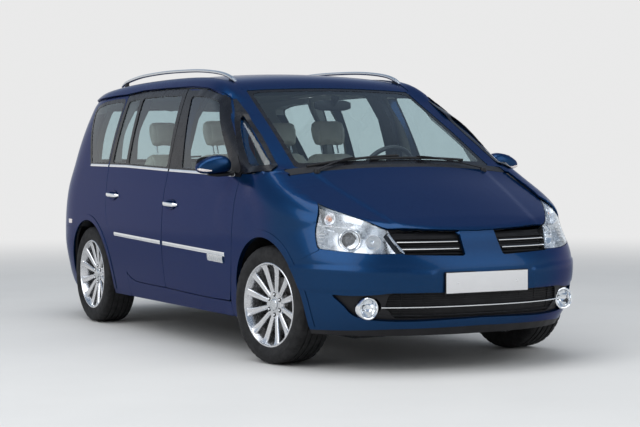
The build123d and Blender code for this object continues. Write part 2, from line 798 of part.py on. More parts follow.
def make_knuckle():
    """Upright of one front wheel, its hub stub, steering arm and caliper, about the wheel's centre."""
    y = -kingpin_inset
    hub_end = -(disc_offset + disc_sheet + caliper_gap)
    low = knuckle_low - tyre_radius
    high = knuckle_top - tyre_radius
    with BuildPart() as knuckle:
        add(block((-knuckle_length / 2, knuckle_length / 2), (y - knuckle_depth, hub_end), (low, high)))
        add(block((-120, -30), (y - knuckle_depth, y), (-80, -50)))
        add(block((30, 76), (y - knuckle_depth, y), (-30, 40)))
        with BuildSketch(Plane.XZ.offset(-hub_end)):
            Circle(hub_radius)
        extrude(amount=hub_end - y + knuckle_depth)
        inner_face = caliper_gap - disc_offset
        for y_span in ((hub_end - 24, hub_end), (inner_face, inner_face + 16)):
            add(block((80, 168), y_span, (-55, 55)))
        add(block((disc_radius + caliper_gap, disc_radius + 24), (hub_end - 24, 14), (-55, 55)))
        add(block((30, 90), (hub_end - 24, hub_end), (-30, 40)))
    return knuckle.part


def placed(part, x, y, turn=0):
    """A wheel-centred piece set at its axle, steered by turn degrees about the upright kingpin."""
    side = 1 if y > 0 else -1
    pin = side * kingpin_y
    with BuildPart() as piece:
        with Locations(Location((x, pin, tyre_radius), (0, 0, turn))):
            add(part if side > 0 else mirrored(part))
    return piece.part


def make_wheels():
    with BuildPart() as wheel:
        with Locations((0, kingpin_inset, 0)):
            add(make_wheel())
    with BuildPart() as tyre:
        with Locations((0, kingpin_inset, 0)):
            add(make_tyre())
    with BuildPart() as knuckle:
        with Locations((0, kingpin_inset, 0)):
            add(make_knuckle())
    for side, side_name in ((1, "left"), (-1, "right")):
        for x, name, turn in ((front_axle_x, "front", steer_rest), (rear_axle_x, "rear", 0)):
            write(placed(wheel.part, x, side, turn), f"{name}_{side_name}_wheel")
            write(placed(tyre.part, x, side, turn), f"{name}_{side_name}_tyre")
        write(placed(knuckle.part, front_axle_x, side, steer_rest), f"{side_name}_knuckle")


def make_front_suspension():
    """Subframe, lower and upper arms and spring legs."""
    low_z = knuckle_low - 6
    high_z = knuckle_top + 6
    with BuildPart() as frame:
        x = front_axle_x
        cross = (-subframe_half, subframe_half)
        add(block((x - 190, x - 120), cross, (low_z - 40, low_z + 30)))
        add(block((x + 120, x + 190), cross, (low_z - 40, low_z + 30)))
        for side in (1, -1):
            beam = sorted((side * subframe_half, side * (subframe_half - 50)))
            add(block((x - 190, x + 190), beam, (low_z - 40, low_z + 30)))
            arm = sorted((side * (subframe_half - 30), side * (kingpin_y + 24)))
            add(block((x - 32, x + 32), arm, (low_z - arm_sheet, low_z)))
            upper = sorted((side * rail_half, side * (kingpin_y + 24)))
            add(block((x - 24, x + 24), upper, (high_z, high_z + arm_sheet)))
            with Locations((x, side * damper_y, (low_z + high_z) / 2)):
                Cylinder(damper_radius, high_z - low_z)
            leg = up(tower_top) - high_z - arm_sheet
            with Locations((x, side * damper_y, high_z + arm_sheet + leg / 2)):
                Cylinder(damper_radius, leg)
            spring_low = 2 * tyre_radius + 20
            spring = up(tower_top) - spring_low
            with Locations((x, side * damper_y, spring_low + spring / 2)):
                Cylinder(spring_radius, spring)
            cap = sorted((side * rail_half, side * (damper_y + 70)))
            add(block((x - 75, x + 75), cap, (up(tower_top), up(tower_top) + 16)))
    write(frame.part, "front_suspension")


def make_rear_axle():
    """Twist beam with trailing arms, stub axles, calipers, springs and dampers."""
    x = rear_axle_x
    hub_end = wheel_y - disc_offset - disc_sheet - caliper_gap
    arm_y = rear_arm_y
    with BuildPart() as axle:
        add(block((x + 60, x + 130), (-arm_y, arm_y), (tyre_radius - 45, tyre_radius + 20)))
        for side in (1, -1):
            arm = sorted((side * (arm_y - 25), side * (arm_y + 25)))
            add(block((x - 60, along(-1035)), arm, (tyre_radius - 55, tyre_radius - 5)))
            hub = sorted((side * (arm_y + 25), side * hub_end))
            add(block((x - 45, x + 45), hub, (tyre_radius - 45, tyre_radius + 45)))
            plate = sorted((side * (hub_end - 22), side * hub_end))
            add(block((x - 168, x - 30), plate, (tyre_radius - 45, tyre_radius + 45)))
            bridge = sorted((side * (hub_end - 22), side * (wheel_y + 14)))
            add(block((x - 168, x - disc_radius - caliper_gap), bridge, (tyre_radius - 45, tyre_radius + 45)))
            pad = sorted((side * (wheel_y - disc_offset + caliper_gap), side * (wheel_y + 14)))
            add(block((x - 168, x - 80), pad, (tyre_radius - 45, tyre_radius + 45)))
            leg_y = side * (arm_y - 60)
            leg = load_floor_z - floor_sheet - tyre_radius - 10
            add(block((x - 55, x + 130), sorted((side * (arm_y - 110), side * (arm_y - 10))),
                      (tyre_radius - 20, tyre_radius + 10)))
            with Locations((x, leg_y, tyre_radius + 10 + leg / 2)):
                Cylinder(spring_radius, leg)
    write(axle.part, "rear_axle")


def make_power_train():
    write(block((along(1230), along(1900)), (-385, 385), (300, up(830))), "engine")
    pipe_z = floor_z - 55
    pipe_radius = 28
    muffler_x = along(-1980)
    with BuildPart() as exhaust:
        with BuildLine() as route:
            FilletPolyline(
                (along(1180), -150, pipe_z), (along(620), -150, pipe_z), (along(300), -60, pipe_z),
                (along(-1040), -60, pipe_z), (along(-1260), -200, tyre_radius + 70),
                (along(-1560), -200, tyre_radius + 70), (along(-1760), -330, pipe_z + 60),
                (muffler_x, -330, pipe_z + 60), radius=80,
            )
        with BuildSketch(Plane(origin=route.line @ 0, z_dir=route.line % 0)):
            Circle(pipe_radius)
        sweep()
        with BuildSketch(Plane.YZ.offset(muffler_x)):
            with Locations((-330, pipe_z + 60)):
                RectangleRounded(330, 130, 60)
        extrude(amount=210)
    write(exhaust.part, "exhaust")
    tank_top = floor_z - 8
    write(block((along(-880), along(-250)), (130, 620), (tank_top - 90, tank_top)), "fuel_tank")


def make_seat(width, cushion_length, back_height, head_width):
    """One seat, its cushion, back and headrest in one solid, with the hip at the origin."""
    lean = radians(20)
    back_thick = 110
    foot = -320
    with BuildPart() as seat:
        with BuildSketch(Plane.XZ.offset(-width / 2)):
            with BuildLine():
                top = (-back_height * sin(lean), back_height * cos(lean))
                rear = (top[0] - back_thick, top[1])
                Polyline(
                    (0, 0), top, rear, (-back_thick - 20, -90), (-60, -130), (-60, foot),
                    (cushion_length - 90, foot), (cushion_length - 40, -120),
                    (cushion_length, -60), (cushion_length - 20, 15), close=True,
                )
            make_face()
        extrude(amount=width)
        head_z = back_height * cos(lean)
        head_x = -back_height * sin(lean)
        with BuildSketch(Plane.XZ.offset(-head_width / 2)):
            with BuildLine():
                Polyline(
                    (head_x - 5, head_z + 20), (head_x - 50, head_z + 190), (head_x - 110, head_z + 190),
                    (head_x - 100, head_z + 20), close=True,
                )
            make_face()
        extrude(amount=head_width)
        add(block((head_x - 66, head_x - 52), (-70, -58), (head_z - 30, head_z + 40)))
        add(block((head_x - 66, head_x - 52), (58, 70), (head_z - 30, head_z + 40)))
    return seat.part


def make_seats():
    foot = 320
    front = make_seat(seat_width, 540, 590, 270)
    with BuildPart() as pair:
        with Locations(*[(along(front_seat_x), side * across(seat_y), floor_z + floor_sheet + foot + 60)
                         for side in (1, -1)]):
            add(front)
    write(pair.part, "front_seats")
    second = make_seat(rear_seat_width, 500, 590, 250)
    with BuildPart() as row:
        with Locations(*[(along(rear_seat_x), k * across(rear_seat_pitch), floor_z + floor_sheet + foot + 60)
                         for k in (-1, 0, 1)]):
            add(second)
    write(row.part, "second_row_seats")


def make_dashboard():
    outline = [
        (1290, 1040), (900, 1052), (860, 1010), (880, 850), (905, 720), (985, 680), (990, 912),
        (1290, 1000),
    ]
    with BuildPart() as dashboard:
        add(side_cutter(outline, inner=-1100))
        add(lining, mode=Mode.INTERSECT)
        add(block((0, 3000), (-1200, -across(690)), (0, 2000)), mode=Mode.SUBTRACT)
        add(block((0, 3000), (across(690), 1200), (0, 2000)), mode=Mode.SUBTRACT)
    write(dashboard.part, "dashboard")


def make_steering_wheel():
    x, y, z = along(steering_centre[0]), across(steering_centre[1]), up(steering_centre[2])
    column = Plane(origin=(x, y, z), z_dir=(-cos(radians(steering_tilt)), 0, sin(radians(steering_tilt))))
    with BuildPart() as wheel:
        with BuildSketch(Plane(origin=column.origin, x_dir=column.z_dir, z_dir=column.x_dir)):
            with Locations((0, steering_radius)):
                Circle(steering_grip)
        revolve(axis=Axis(column.origin, column.z_dir))
        with BuildSketch(column.offset(-38)):
            Circle(68)
        extrude(amount=40)
        with BuildSketch(column.offset(-22)):
            Rectangle(2 * steering_radius, 34)
            Rectangle(34, 2 * steering_radius)
        extrude(amount=18)
        with BuildSketch(column.offset(-220)):
            Circle(30)
        extrude(amount=190)
    write(wheel.part, "steering_wheel")


def make_mirrors():
    """Door mirrors: a rounded housing on an arm, at the lower front corner of the door window."""
    with BuildPart() as mirror_piece:
        with BuildSketch(Plane.YZ.offset(along(900))):
            with Locations((across(1000), up(1115))):
                RectangleRounded(210, 130, 45)
        extrude(amount=110)
        arm = (along(930), along(1000))
        add(block(arm, (across(890), across(960)), (up(1045), up(1062))))
    write(mirror_piece.part, "left_mirror")
    write(mirrored(mirror_piece.part), "right_mirror")


def make_roof_bars():
    outline = [
        (400, 1618), (300, 1672), (150, 1702), (-150, 1728), (-700, 1738), (-1200, 1724),
        (-1480, 1690), (-1560, 1650), (-1500, 1650), (-1440, 1668), (-1200, 1700), (-700, 1714),
        (-150, 1704), (150, 1680), (260, 1655), (330, 1640),
    ]
    with BuildPart() as bar:
        with BuildSketch(Plane.XZ.offset(-across(600))):
            add(outline_sketch([(along(x), up(z)) for x, z in outline], 0, 0))
        extrude(amount=26)
        add(outer, mode=Mode.SUBTRACT)
    write_pair(bar.part, "roof_bars")


make_doors()
make_side_frames()
make_quarter_panels()
make_fenders()
make_sills()
make_centre_pillars()
make_top_panels()
make_tailgate()
make_lamps()
make_bumpers()
make_liners()
make_floor()
make_wheels()
make_front_suspension()
make_rear_axle()
make_power_train()
make_seats()
make_dashboard()
make_steering_wheel()
make_mirrors()
make_roof_bars()
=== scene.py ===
from math import ceil, cos, degrees, pi, radians, sin, tan

import bmesh
import bpy
import numpy as np
from mathutils import Matrix, Vector
from mathutils.bvhtree import BVHTree


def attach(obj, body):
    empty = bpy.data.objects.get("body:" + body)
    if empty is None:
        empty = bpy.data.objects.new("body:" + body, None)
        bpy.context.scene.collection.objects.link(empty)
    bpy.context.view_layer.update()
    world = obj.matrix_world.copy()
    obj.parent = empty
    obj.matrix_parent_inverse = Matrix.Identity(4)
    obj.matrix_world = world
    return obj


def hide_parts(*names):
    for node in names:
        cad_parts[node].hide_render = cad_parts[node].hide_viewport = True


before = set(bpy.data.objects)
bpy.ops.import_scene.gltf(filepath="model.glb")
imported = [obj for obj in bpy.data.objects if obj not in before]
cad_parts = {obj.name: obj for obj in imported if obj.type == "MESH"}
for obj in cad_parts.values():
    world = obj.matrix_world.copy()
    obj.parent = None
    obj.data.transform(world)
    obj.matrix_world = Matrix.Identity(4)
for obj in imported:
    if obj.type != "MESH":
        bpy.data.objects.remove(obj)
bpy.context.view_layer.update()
MM = 0.001


# ---------------------------------------------------------------- body surface, in millimetres

def smooth_curve(points):
    """A natural cubic curve through points, for arrays."""
    xs, ys = (np.array(column, float) for column in zip(*points))
    steps = np.diff(xs)
    slopes = np.diff(ys) / steps
    matrix = np.eye(len(xs))
    right = np.zeros(len(xs))
    for i in range(1, len(xs) - 1):
        matrix[i, i - 1 : i + 2] = steps[i - 1], 2 * (steps[i - 1] + steps[i]), steps[i]
        right[i] = 6 * (slopes[i] - slopes[i - 1])
    bends = np.linalg.solve(matrix, right)

    def value(x):
        x = np.asarray(x, float)
        i = np.clip(np.searchsorted(xs, x) - 1, 0, len(steps) - 1)
        h, a, b = steps[i], xs[i + 1] - x, x - xs[i]
        cubic = (bends[i] * a**3 + bends[i + 1] * b**3) / (6 * h)
        return cubic + (ys[i] / h - bends[i] * h / 6) * a + (ys[i + 1] / h - bends[i + 1] * h / 6) * b

    return value


half_width = smooth_curve(
    [(150, 838), (300, 880), (450, 908), (600, 925), (720, 930), (850, 924), (960, 908),
     (1075, 878), (1200, 848), (1400, 792), (1550, 738), (1700, 672)]
)
nose = smooth_curve(
    [(150, 2190), (300, 2290), (420, 2322), (520, 2330), (600, 2318), (680, 2272), (760, 2225),
     (900, 2190), (1000, 2130), (1100, 2030), (1300, 1800), (1500, 1580), (1800, 1250)]
)
tail = smooth_curve(
    [(150, -2200), (300, -2285), (450, -2325), (560, -2330), (620, -2318), (800, -2290),
     (1000, -2262), (1250, -2205), (1500, -2110), (1800, -1960)]
)
roof_line = smooth_curve(
    [(-2400, 1400), (-2150, 1560), (-2000, 1612), (-1700, 1655), (-1200, 1688), (-600, 1700),
     (0, 1690), (250, 1668), (420, 1628), (560, 1560), (800, 1435), (1100, 1275), (1400, 1112),
     (1700, 985), (2000, 862), (2200, 778), (2400, 690)]
)
crown = smooth_curve(
    [(-2300, 16e-5), (-1500, 12e-5), (0, 9e-5), (400, 75e-6), (700, 8e-5), (1350, 105e-6),
     (1700, 105e-6), (2200, 6e-5)]
)
shoulder = smooth_curve(
    [(-2200, 60), (-1800, 79), (-1000, 82), (300, 89), (800, 94), (1350, 85), (1700, 70),
     (2000, 45), (2150, 26), (2400, 18)]
)
nose_depth = smooth_curve([(300, 750), (650, 800), (900, 880), (1100, 1050), (1500, 1150)])


def outside(p):
    """Below zero inside the body, above zero outside it."""
    x, y, z = p[:, 0], np.abs(p[:, 1]), p[:, 2]
    power = np.interp(z, [300, 700, 900], [2.4, 2.35, 2.3])
    depth = nose_depth(np.clip(z, 300, 1500))
    share = y / (half_width(z) * (1 - 0.018 * ((x - 50) / 2000) ** 2))
    ahead = np.clip((x - (nose(z) - depth)) / depth, 0, None)
    behind = np.clip((tail(z) + 700 - x) / 700, 0, None)
    front = (share**power + ahead**power) ** (1 / power)
    back = (share**3 + behind**3) ** (1 / 3)
    side = (np.where(x > 0, front, back) - 1) * 880
    top = (z - roof_line(x) + crown(x) * y * y) * np.interp(x, [300, 600, 2200], [1, 0.88, 0.9])
    radius = np.clip(shoulder(x), 15, None)
    u, v = np.maximum(side + radius, 0), np.maximum(top + radius, 0)
    return np.minimum(np.maximum(side, top), -radius) + (u**2.2 + v**2.2) ** (1 / 2.2)


def gradient(p, h=1.5):
    g = np.empty_like(p)
    for k in range(3):
        step = np.zeros(3)
        step[k] = h
        g[:, k] = (outside(p + step) - outside(p - step)) / (2 * h)
    return g


def settle(p, height=0.0, rounds=2):
    """Points moved square to the body surface until they stand height above it, and their normals."""
    for _ in range(rounds):
        g = gradient(p)
        size = np.linalg.norm(g, axis=1)[:, None]
        p = p + g / size * (height - outside(p)[:, None] / size)
    return p, g / size


def shoot(origins, directions, reach):
    """Where rays from inside the body leave it, and which of them do."""
    near = np.zeros(len(origins))
    far = np.full(len(origins), float(reach))
    good = (outside(origins) < 0) & (outside(origins + directions * reach) > 0)
    for _ in range(17):
        middle = (near + far) / 2
        inside = outside(origins + directions * middle[:, None]) < 0
        near, far = np.where(inside, middle, near), np.where(inside, far, middle)
    return origins + directions * near[:, None], good


def grid(us, vs, ray, reach):
    """A triangulated sheet of the body surface; ray(u, v) gives each ray's origin and direction."""
    u, v = (a.ravel() for a in np.meshgrid(us, vs, indexing="ij"))
    origins, directions = (
        np.stack([np.broadcast_to(value, u.shape) for value in part], 1).astype(float) for part in ray(u, v)
    )
    points, good = shoot(origins, directions, reach)
    n, m = len(us), len(vs)
    a = (np.arange(n - 1)[:, None] * m + np.arange(m - 1)[None]).ravel()
    b, c, d = a + m, a + m + 1, a + 1
    whole = good[a] & good[b] & good[c] & good[d]
    a, b, c, d = a[whole], b[whole], c[whole], d[whole]
    faces = np.concatenate([np.stack([a, b, c], 1), np.stack([a, c, d], 1)])
    corner = points[faces]
    normal = np.cross(corner[:, 1] - corner[:, 0], corner[:, 2] - corner[:, 0])
    centre = corner.mean(1)
    out = outside(centre + normal / (np.linalg.norm(normal, axis=1)[:, None] + 1e-9) * 4)
    if np.median(out) < 0:
        faces = faces[:, ::-1]
    return points, faces


CELL = 18.0


def steps(low, high, size=None):
    return np.linspace(low, high, max(2, int(ceil((high - low) / (size or CELL))) + 1))


def top_sheet(x0, x1, y0, y1, size=None):
    return grid(steps(x0, x1, size), steps(y0, y1, size),
                lambda x, y: ((x, y, 600.0), (0, 0, 1.0)), 1300)


def side_sheet(x0, x1, z0, z1, size=None):
    return grid(steps(x0, x1, size), steps(z0, z1, size),
                lambda x, z: ((x, 0.0, z), (0, 1.0, 0)), 1100)


def pole_sheet(centre_x, centre_y, turn0, turn1, z0, z1, size=None):
    """A sheet seen from an upright pole inside the body."""
    return grid(np.radians(steps(turn0, turn1, (size or CELL) / 15)), steps(z0, z1, size),
                lambda a, z: ((centre_x, centre_y, z), (np.cos(a), np.sin(a), 0)), 2600)


def rail_sheet(x0, x1, turn0, turn1, rail_y, rail_z, size=None):
    """A sheet seen from a lengthwise rail inside the body; rail_z(x) is the rail's height."""
    return grid(steps(x0, x1, size), np.radians(steps(turn0, turn1, (size or CELL) / 9)),
                lambda x, a: ((x, rail_y, rail_z(x)), (0, np.cos(a), np.sin(a))), 1100)


def beam_sheet(centre_x, centre_z, y0, y1, turn0, turn1, size=None):
    """A sheet seen from a crosswise beam inside the body."""
    return grid(steps(y0, y1, size), np.radians(steps(turn0, turn1, (size or CELL) / 14)),
                lambda y, a: ((centre_x, y, centre_z), (np.cos(a), 0, np.sin(a))), 1500)


def under_roof(x):
    return roof_line(x) - 500


def ball_sheet(centre, turn0, turn1, rise0, rise1, size=None):
    """A sheet seen from one point inside the body."""
    def ray(a, e):
        return centre, (np.cos(a) * np.cos(e), np.sin(a) * np.cos(e), np.sin(e))
    angle = (size or CELL) / 9
    return grid(np.radians(steps(turn0, turn1, angle)), np.radians(steps(rise0, rise1, angle)), ray, 1500)


# ---------------------------------------------------------------- outlines and trimming

def both_sides(half):
    return half + [(a, -b) for a, b in reversed(half) if b]


def across_sides(half):
    return half + [(-a, b) for a, b in reversed(half) if a]


def rounded(outline, corner=12.0, bend=900.0):
    """The outline with its corners rounded, and with its slight bends made smooth."""
    made = []
    n = len(outline)
    for i in range(n):
        p, q, r = (np.array(outline[(i + k) % n], float) for k in (-1, 0, 1))
        a, b = p - q, r - q
        la, lb = np.linalg.norm(a), np.linalg.norm(b)
        turn = pi - np.arccos(np.clip(a @ b / (la * lb), -1, 1))
        if turn < 0.01:
            made.append(q)
            continue
        radius = corner if turn > radians(38) else bend
        cut = min(radius * tan(turn / 2), 0.46 * la, 0.46 * lb)
        start, end = q + a / la * cut, q + b / lb * cut
        count = max(2, int(ceil(degrees(turn) / 7)))
        for k in range(count + 1):
            t = k / count
            made.append((1 - t) ** 2 * start + 2 * t * (1 - t) * q + t * t * end)
    return np.array(made)


def edge_distance(a, b, outline):
    """Distance of points (a, b) from a closed outline, below zero inside it."""
    best = np.full(a.shape, 1e12)
    inside = np.zeros(a.shape, bool)
    for (x0, y0), (x1, y1) in zip(outline, np.roll(outline, -1, axis=0)):
        dx, dy = x1 - x0, y1 - y0
        length = dx * dx + dy * dy
        if length < 1e-9:
            continue
        t = np.clip(((a - x0) * dx + (b - y0) * dy) / length, 0, 1)
        best = np.minimum(best, (a - x0 - t * dx) ** 2 + (b - y0 - t * dy) ** 2)
        crosses = (y0 > b) != (y1 > b)
        if dy:
            inside ^= crosses & (a < x0 + (b - y0) * dx / dy)
    return np.sqrt(best) * np.where(inside, -1, 1)


def clipped(sheet, value):
    """The part of a triangle sheet where value is below zero, cut along its zero line."""
    points, faces = sheet
    value = np.where(np.abs(value) < 0.02, -0.02, value)
    kept = value < 0
    count = kept[faces].sum(1)
    whole = faces[count == 3]
    fresh, made = {}, []
    extra = []

    def crossing(i, j):
        key = (i, j) if i < j else (j, i)
        if key not in fresh:
            fresh[key] = len(points) + len(extra)
            t = value[i] / (value[i] - value[j])
            extra.append(points[i] * (1 - t) + points[j] * t)
        return fresh[key]

    for tri in faces[(count == 1) | (count == 2)]:
        ring = []
        for k in range(3):
            i, j = int(tri[k]), int(tri[(k + 1) % 3])
            if kept[i]:
                ring.append(i)
            if kept[i] != kept[j]:
                ring.append(crossing(i, j))
        for k in range(1, len(ring) - 1):
            made.append((ring[0], ring[k], ring[k + 1]))
    if extra:
        points = np.concatenate([points, np.array(extra)])
    if made:
        whole = np.concatenate([whole, np.array(made, int)])
    used, faces = np.unique(whole, return_inverse=True)
    return points[used], faces.reshape(-1, 3)


PAIR = ("left", "right")
VIEWS = {"side": (0, 2), "plan": (0, 1), "front": (1, 2)}


def trimmed(sheet, view, outline, keep="inside", grow=0.0, corner=12.0, beyond=None):
    """A sheet cut by an outline drawn in one view; beyond leaves the points short of that X alone."""
    i, j = VIEWS[view]
    points = sheet[0]
    distance = edge_distance(points[:, i], points[:, j], rounded(outline, corner))
    value = distance - grow if keep == "inside" else grow - distance
    if beyond is not None:
        past = points[:, 0] < beyond if beyond < 0 else points[:, 0] > beyond
        value = np.where(past, value, -50)
    return clipped(sheet, value)


def circle_distance(points, view, centre, radius):
    i, j = VIEWS[view]
    return np.hypot(points[:, i] - centre[0], points[:, j] - centre[1]) - radius


def used_part(sheet):
    """A sheet's loose points dropped."""
    used, faces = np.unique(sheet[1], return_inverse=True)
    return sheet[0][used], faces.reshape(-1, 3)


# ---------------------------------------------------------------- meshes

def link(name, mesh, material):
    o = bpy.data.objects.new(name, mesh)
    bpy.context.scene.collection.objects.link(o)
    mesh.materials.append(material)
    return o


def points_of(mesh):
    """A mesh's points, in millimetres."""
    points = np.empty(len(mesh.vertices) * 3)
    mesh.vertices.foreach_get("co", points)
    return points.reshape(-1, 3) / MM


def mesh_object(name, points, faces, material, body, normals=None, slot=None):
    """A smooth object from points in millimetres, on a body; its slot argument is not used."""
    mesh = bpy.data.meshes.new(name)
    mesh.from_pydata([tuple(p) for p in np.asarray(points) * MM], [], [tuple(map(int, f)) for f in faces])
    mesh.validate()
    mesh.polygons.foreach_set("use_smooth", [True] * len(mesh.polygons))
    if normals is not None and len(mesh.vertices) == len(normals):
        mesh.normals_split_custom_set_from_vertices([tuple(n) for n in normals])
    mesh.update()
    o = link(name, mesh, material)
    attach(o, body)
    slot = SLOT_OF.get(material) if slot is None else slot
    return o


CLEAR_REACH = 40.0
CLEARANCE = 1.5
SPREAD = 3
CAD_TREES = {}


def cad_tree(name):
    """A CAD node's faces, in millimetres, to cast rays at."""
    if name not in CAD_TREES:
        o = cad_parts[name]
        corners = [o.matrix_world @ v.co / MM for v in o.data.vertices]
        CAD_TREES[name] = BVHTree.FromPolygons(corners, [tuple(f.vertices) for f in o.data.polygons])
    return CAD_TREES[name]


def rise_over(points, normals, faces, names, rounds):
    """How far a skin's points must rise to clear the CAD panels under them, spread out smoothly."""
    need = np.zeros(len(points))
    for name in names:
        tree = cad_tree(name)
        for i, (p, n) in enumerate(zip(points, normals)):
            out = Vector(n)
            gap = tree.ray_cast(Vector(p) + out * CLEAR_REACH, -out, CLEAR_REACH)[3]
            if gap is not None:
                need[i] = max(need[i], CLEAR_REACH - gap + CLEARANCE)
    a, b = np.concatenate([faces[:, [0, 1]], faces[:, [1, 2]], faces[:, [2, 0]]]).T
    a, b = np.concatenate([a, b]), np.concatenate([b, a])
    rise, count = need.copy(), np.bincount(a, minlength=len(points))
    for _ in range(SPREAD):
        wider = rise.copy()
        np.maximum.at(wider, a, rise[b])
        rise = wider
    for _ in range(rounds):
        rise = 0.5 * rise + 0.5 * np.bincount(a, rise[b], len(points)) / count
    return np.maximum(need, rise)


def border_of(points, faces):
    """The edges that only one face of a sheet has, in the direction of that face."""
    n = len(points)
    directed = np.concatenate([faces[:, [0, 1]], faces[:, [1, 2]], faces[:, [2, 0]]])
    key = directed[:, 0] * n + directed[:, 1]
    twin = directed[:, 1] * n + directed[:, 0]
    return directed[~np.isin(key, twin)]


def shell(sheet, height, thick, rim, shape=None, over=(), rounds=10):
    """A thin closed panel over the body surface, its edge folded in. Gives points, faces and normals."""
    points, faces = sheet
    points, normals = settle(points, height)
    if over:
        points = points + normals * rise_over(points, normals, faces, over, rounds)[:, None]
    if shape is not None:
        points = points + normals * shape(points)[:, None]
    if over or shape is not None:
        corner = points[faces]
        flat = np.cross(corner[:, 1] - corner[:, 0], corner[:, 2] - corner[:, 0])
        normals = np.zeros_like(points)
        for k in range(3):
            np.add.at(normals, faces[:, k], flat)
        normals /= np.linalg.norm(normals, axis=1)[:, None] + 1e-12
    n = len(points)
    border = border_of(points, faces)
    side = np.cross(points[border[:, 1]] - points[border[:, 0]], normals[border[:, 0]])
    side /= np.linalg.norm(side, axis=1)[:, None] + 1e-12
    away = np.zeros_like(points)
    for k in (0, 1):
        np.add.at(away, border[:, k], side)
    away /= np.linalg.norm(away, axis=1)[:, None] + 1e-12
    edge = np.unique(border)
    index = np.full(n, -1)
    index[edge] = np.arange(len(edge))
    m = len(edge)
    p, up, out = points[edge], normals[edge], away[edge]
    bevel = min(1.0, thick * 0.4)
    rings = [
        (p - up * bevel * 0.3 + out * bevel * 0.7, (up + 1.4 * out)),
        (p - up * bevel + out * bevel, out),
        (p - up * rim + out * bevel, out - 0.5 * up),
        (p - up * rim - out * min(1.5, thick), -up),
    ]
    all_points = [points] + [r[0] for r in rings] + [points - normals * thick]
    all_normals = [normals] + [r[1] / np.linalg.norm(r[1], axis=1)[:, None] for r in rings] + [-normals]
    base = n + len(rings) * m
    made = [faces, faces[:, ::-1] + base]
    i, j = border[:, 0], border[:, 1]
    loops = [(i, j)] + [(n + k * m + index[i],
                         n + k * m + index[j]) for k in range(len(rings))] + [(i + base, j + base)]
    for (a, b), (c, d) in zip(loops, loops[1:]):
        made += [np.stack([b, a, c], 1), np.stack([b, c, d], 1)]
    return np.concatenate(all_points), np.concatenate(made), np.concatenate(all_normals)


def panel(name, body, sheet, material, height=3.0, thick=2.2, rim=12.0, shape=None, slot=None,
          over=(), rounds=10):
    """One panel of the outer skin, or a left and a right twin when its name has SIDE in it."""
    points, faces, normals = shell(used_part(sheet), height, thick, rim, shape, over, rounds)
    made = []
    for side in PAIR if "SIDE" in name else ("",):
        turn = np.array([1, -1, 1]) if side == "right" else np.array([1, 1, 1])
        wound = faces[:, ::-1] if side == "right" else faces
        made.append(mesh_object(name.replace("SIDE", side), points * turn, wound, material,
                                body.replace("SIDE", side), normals * turn, slot))
    return made


# ---------------------------------------------------------------- materials


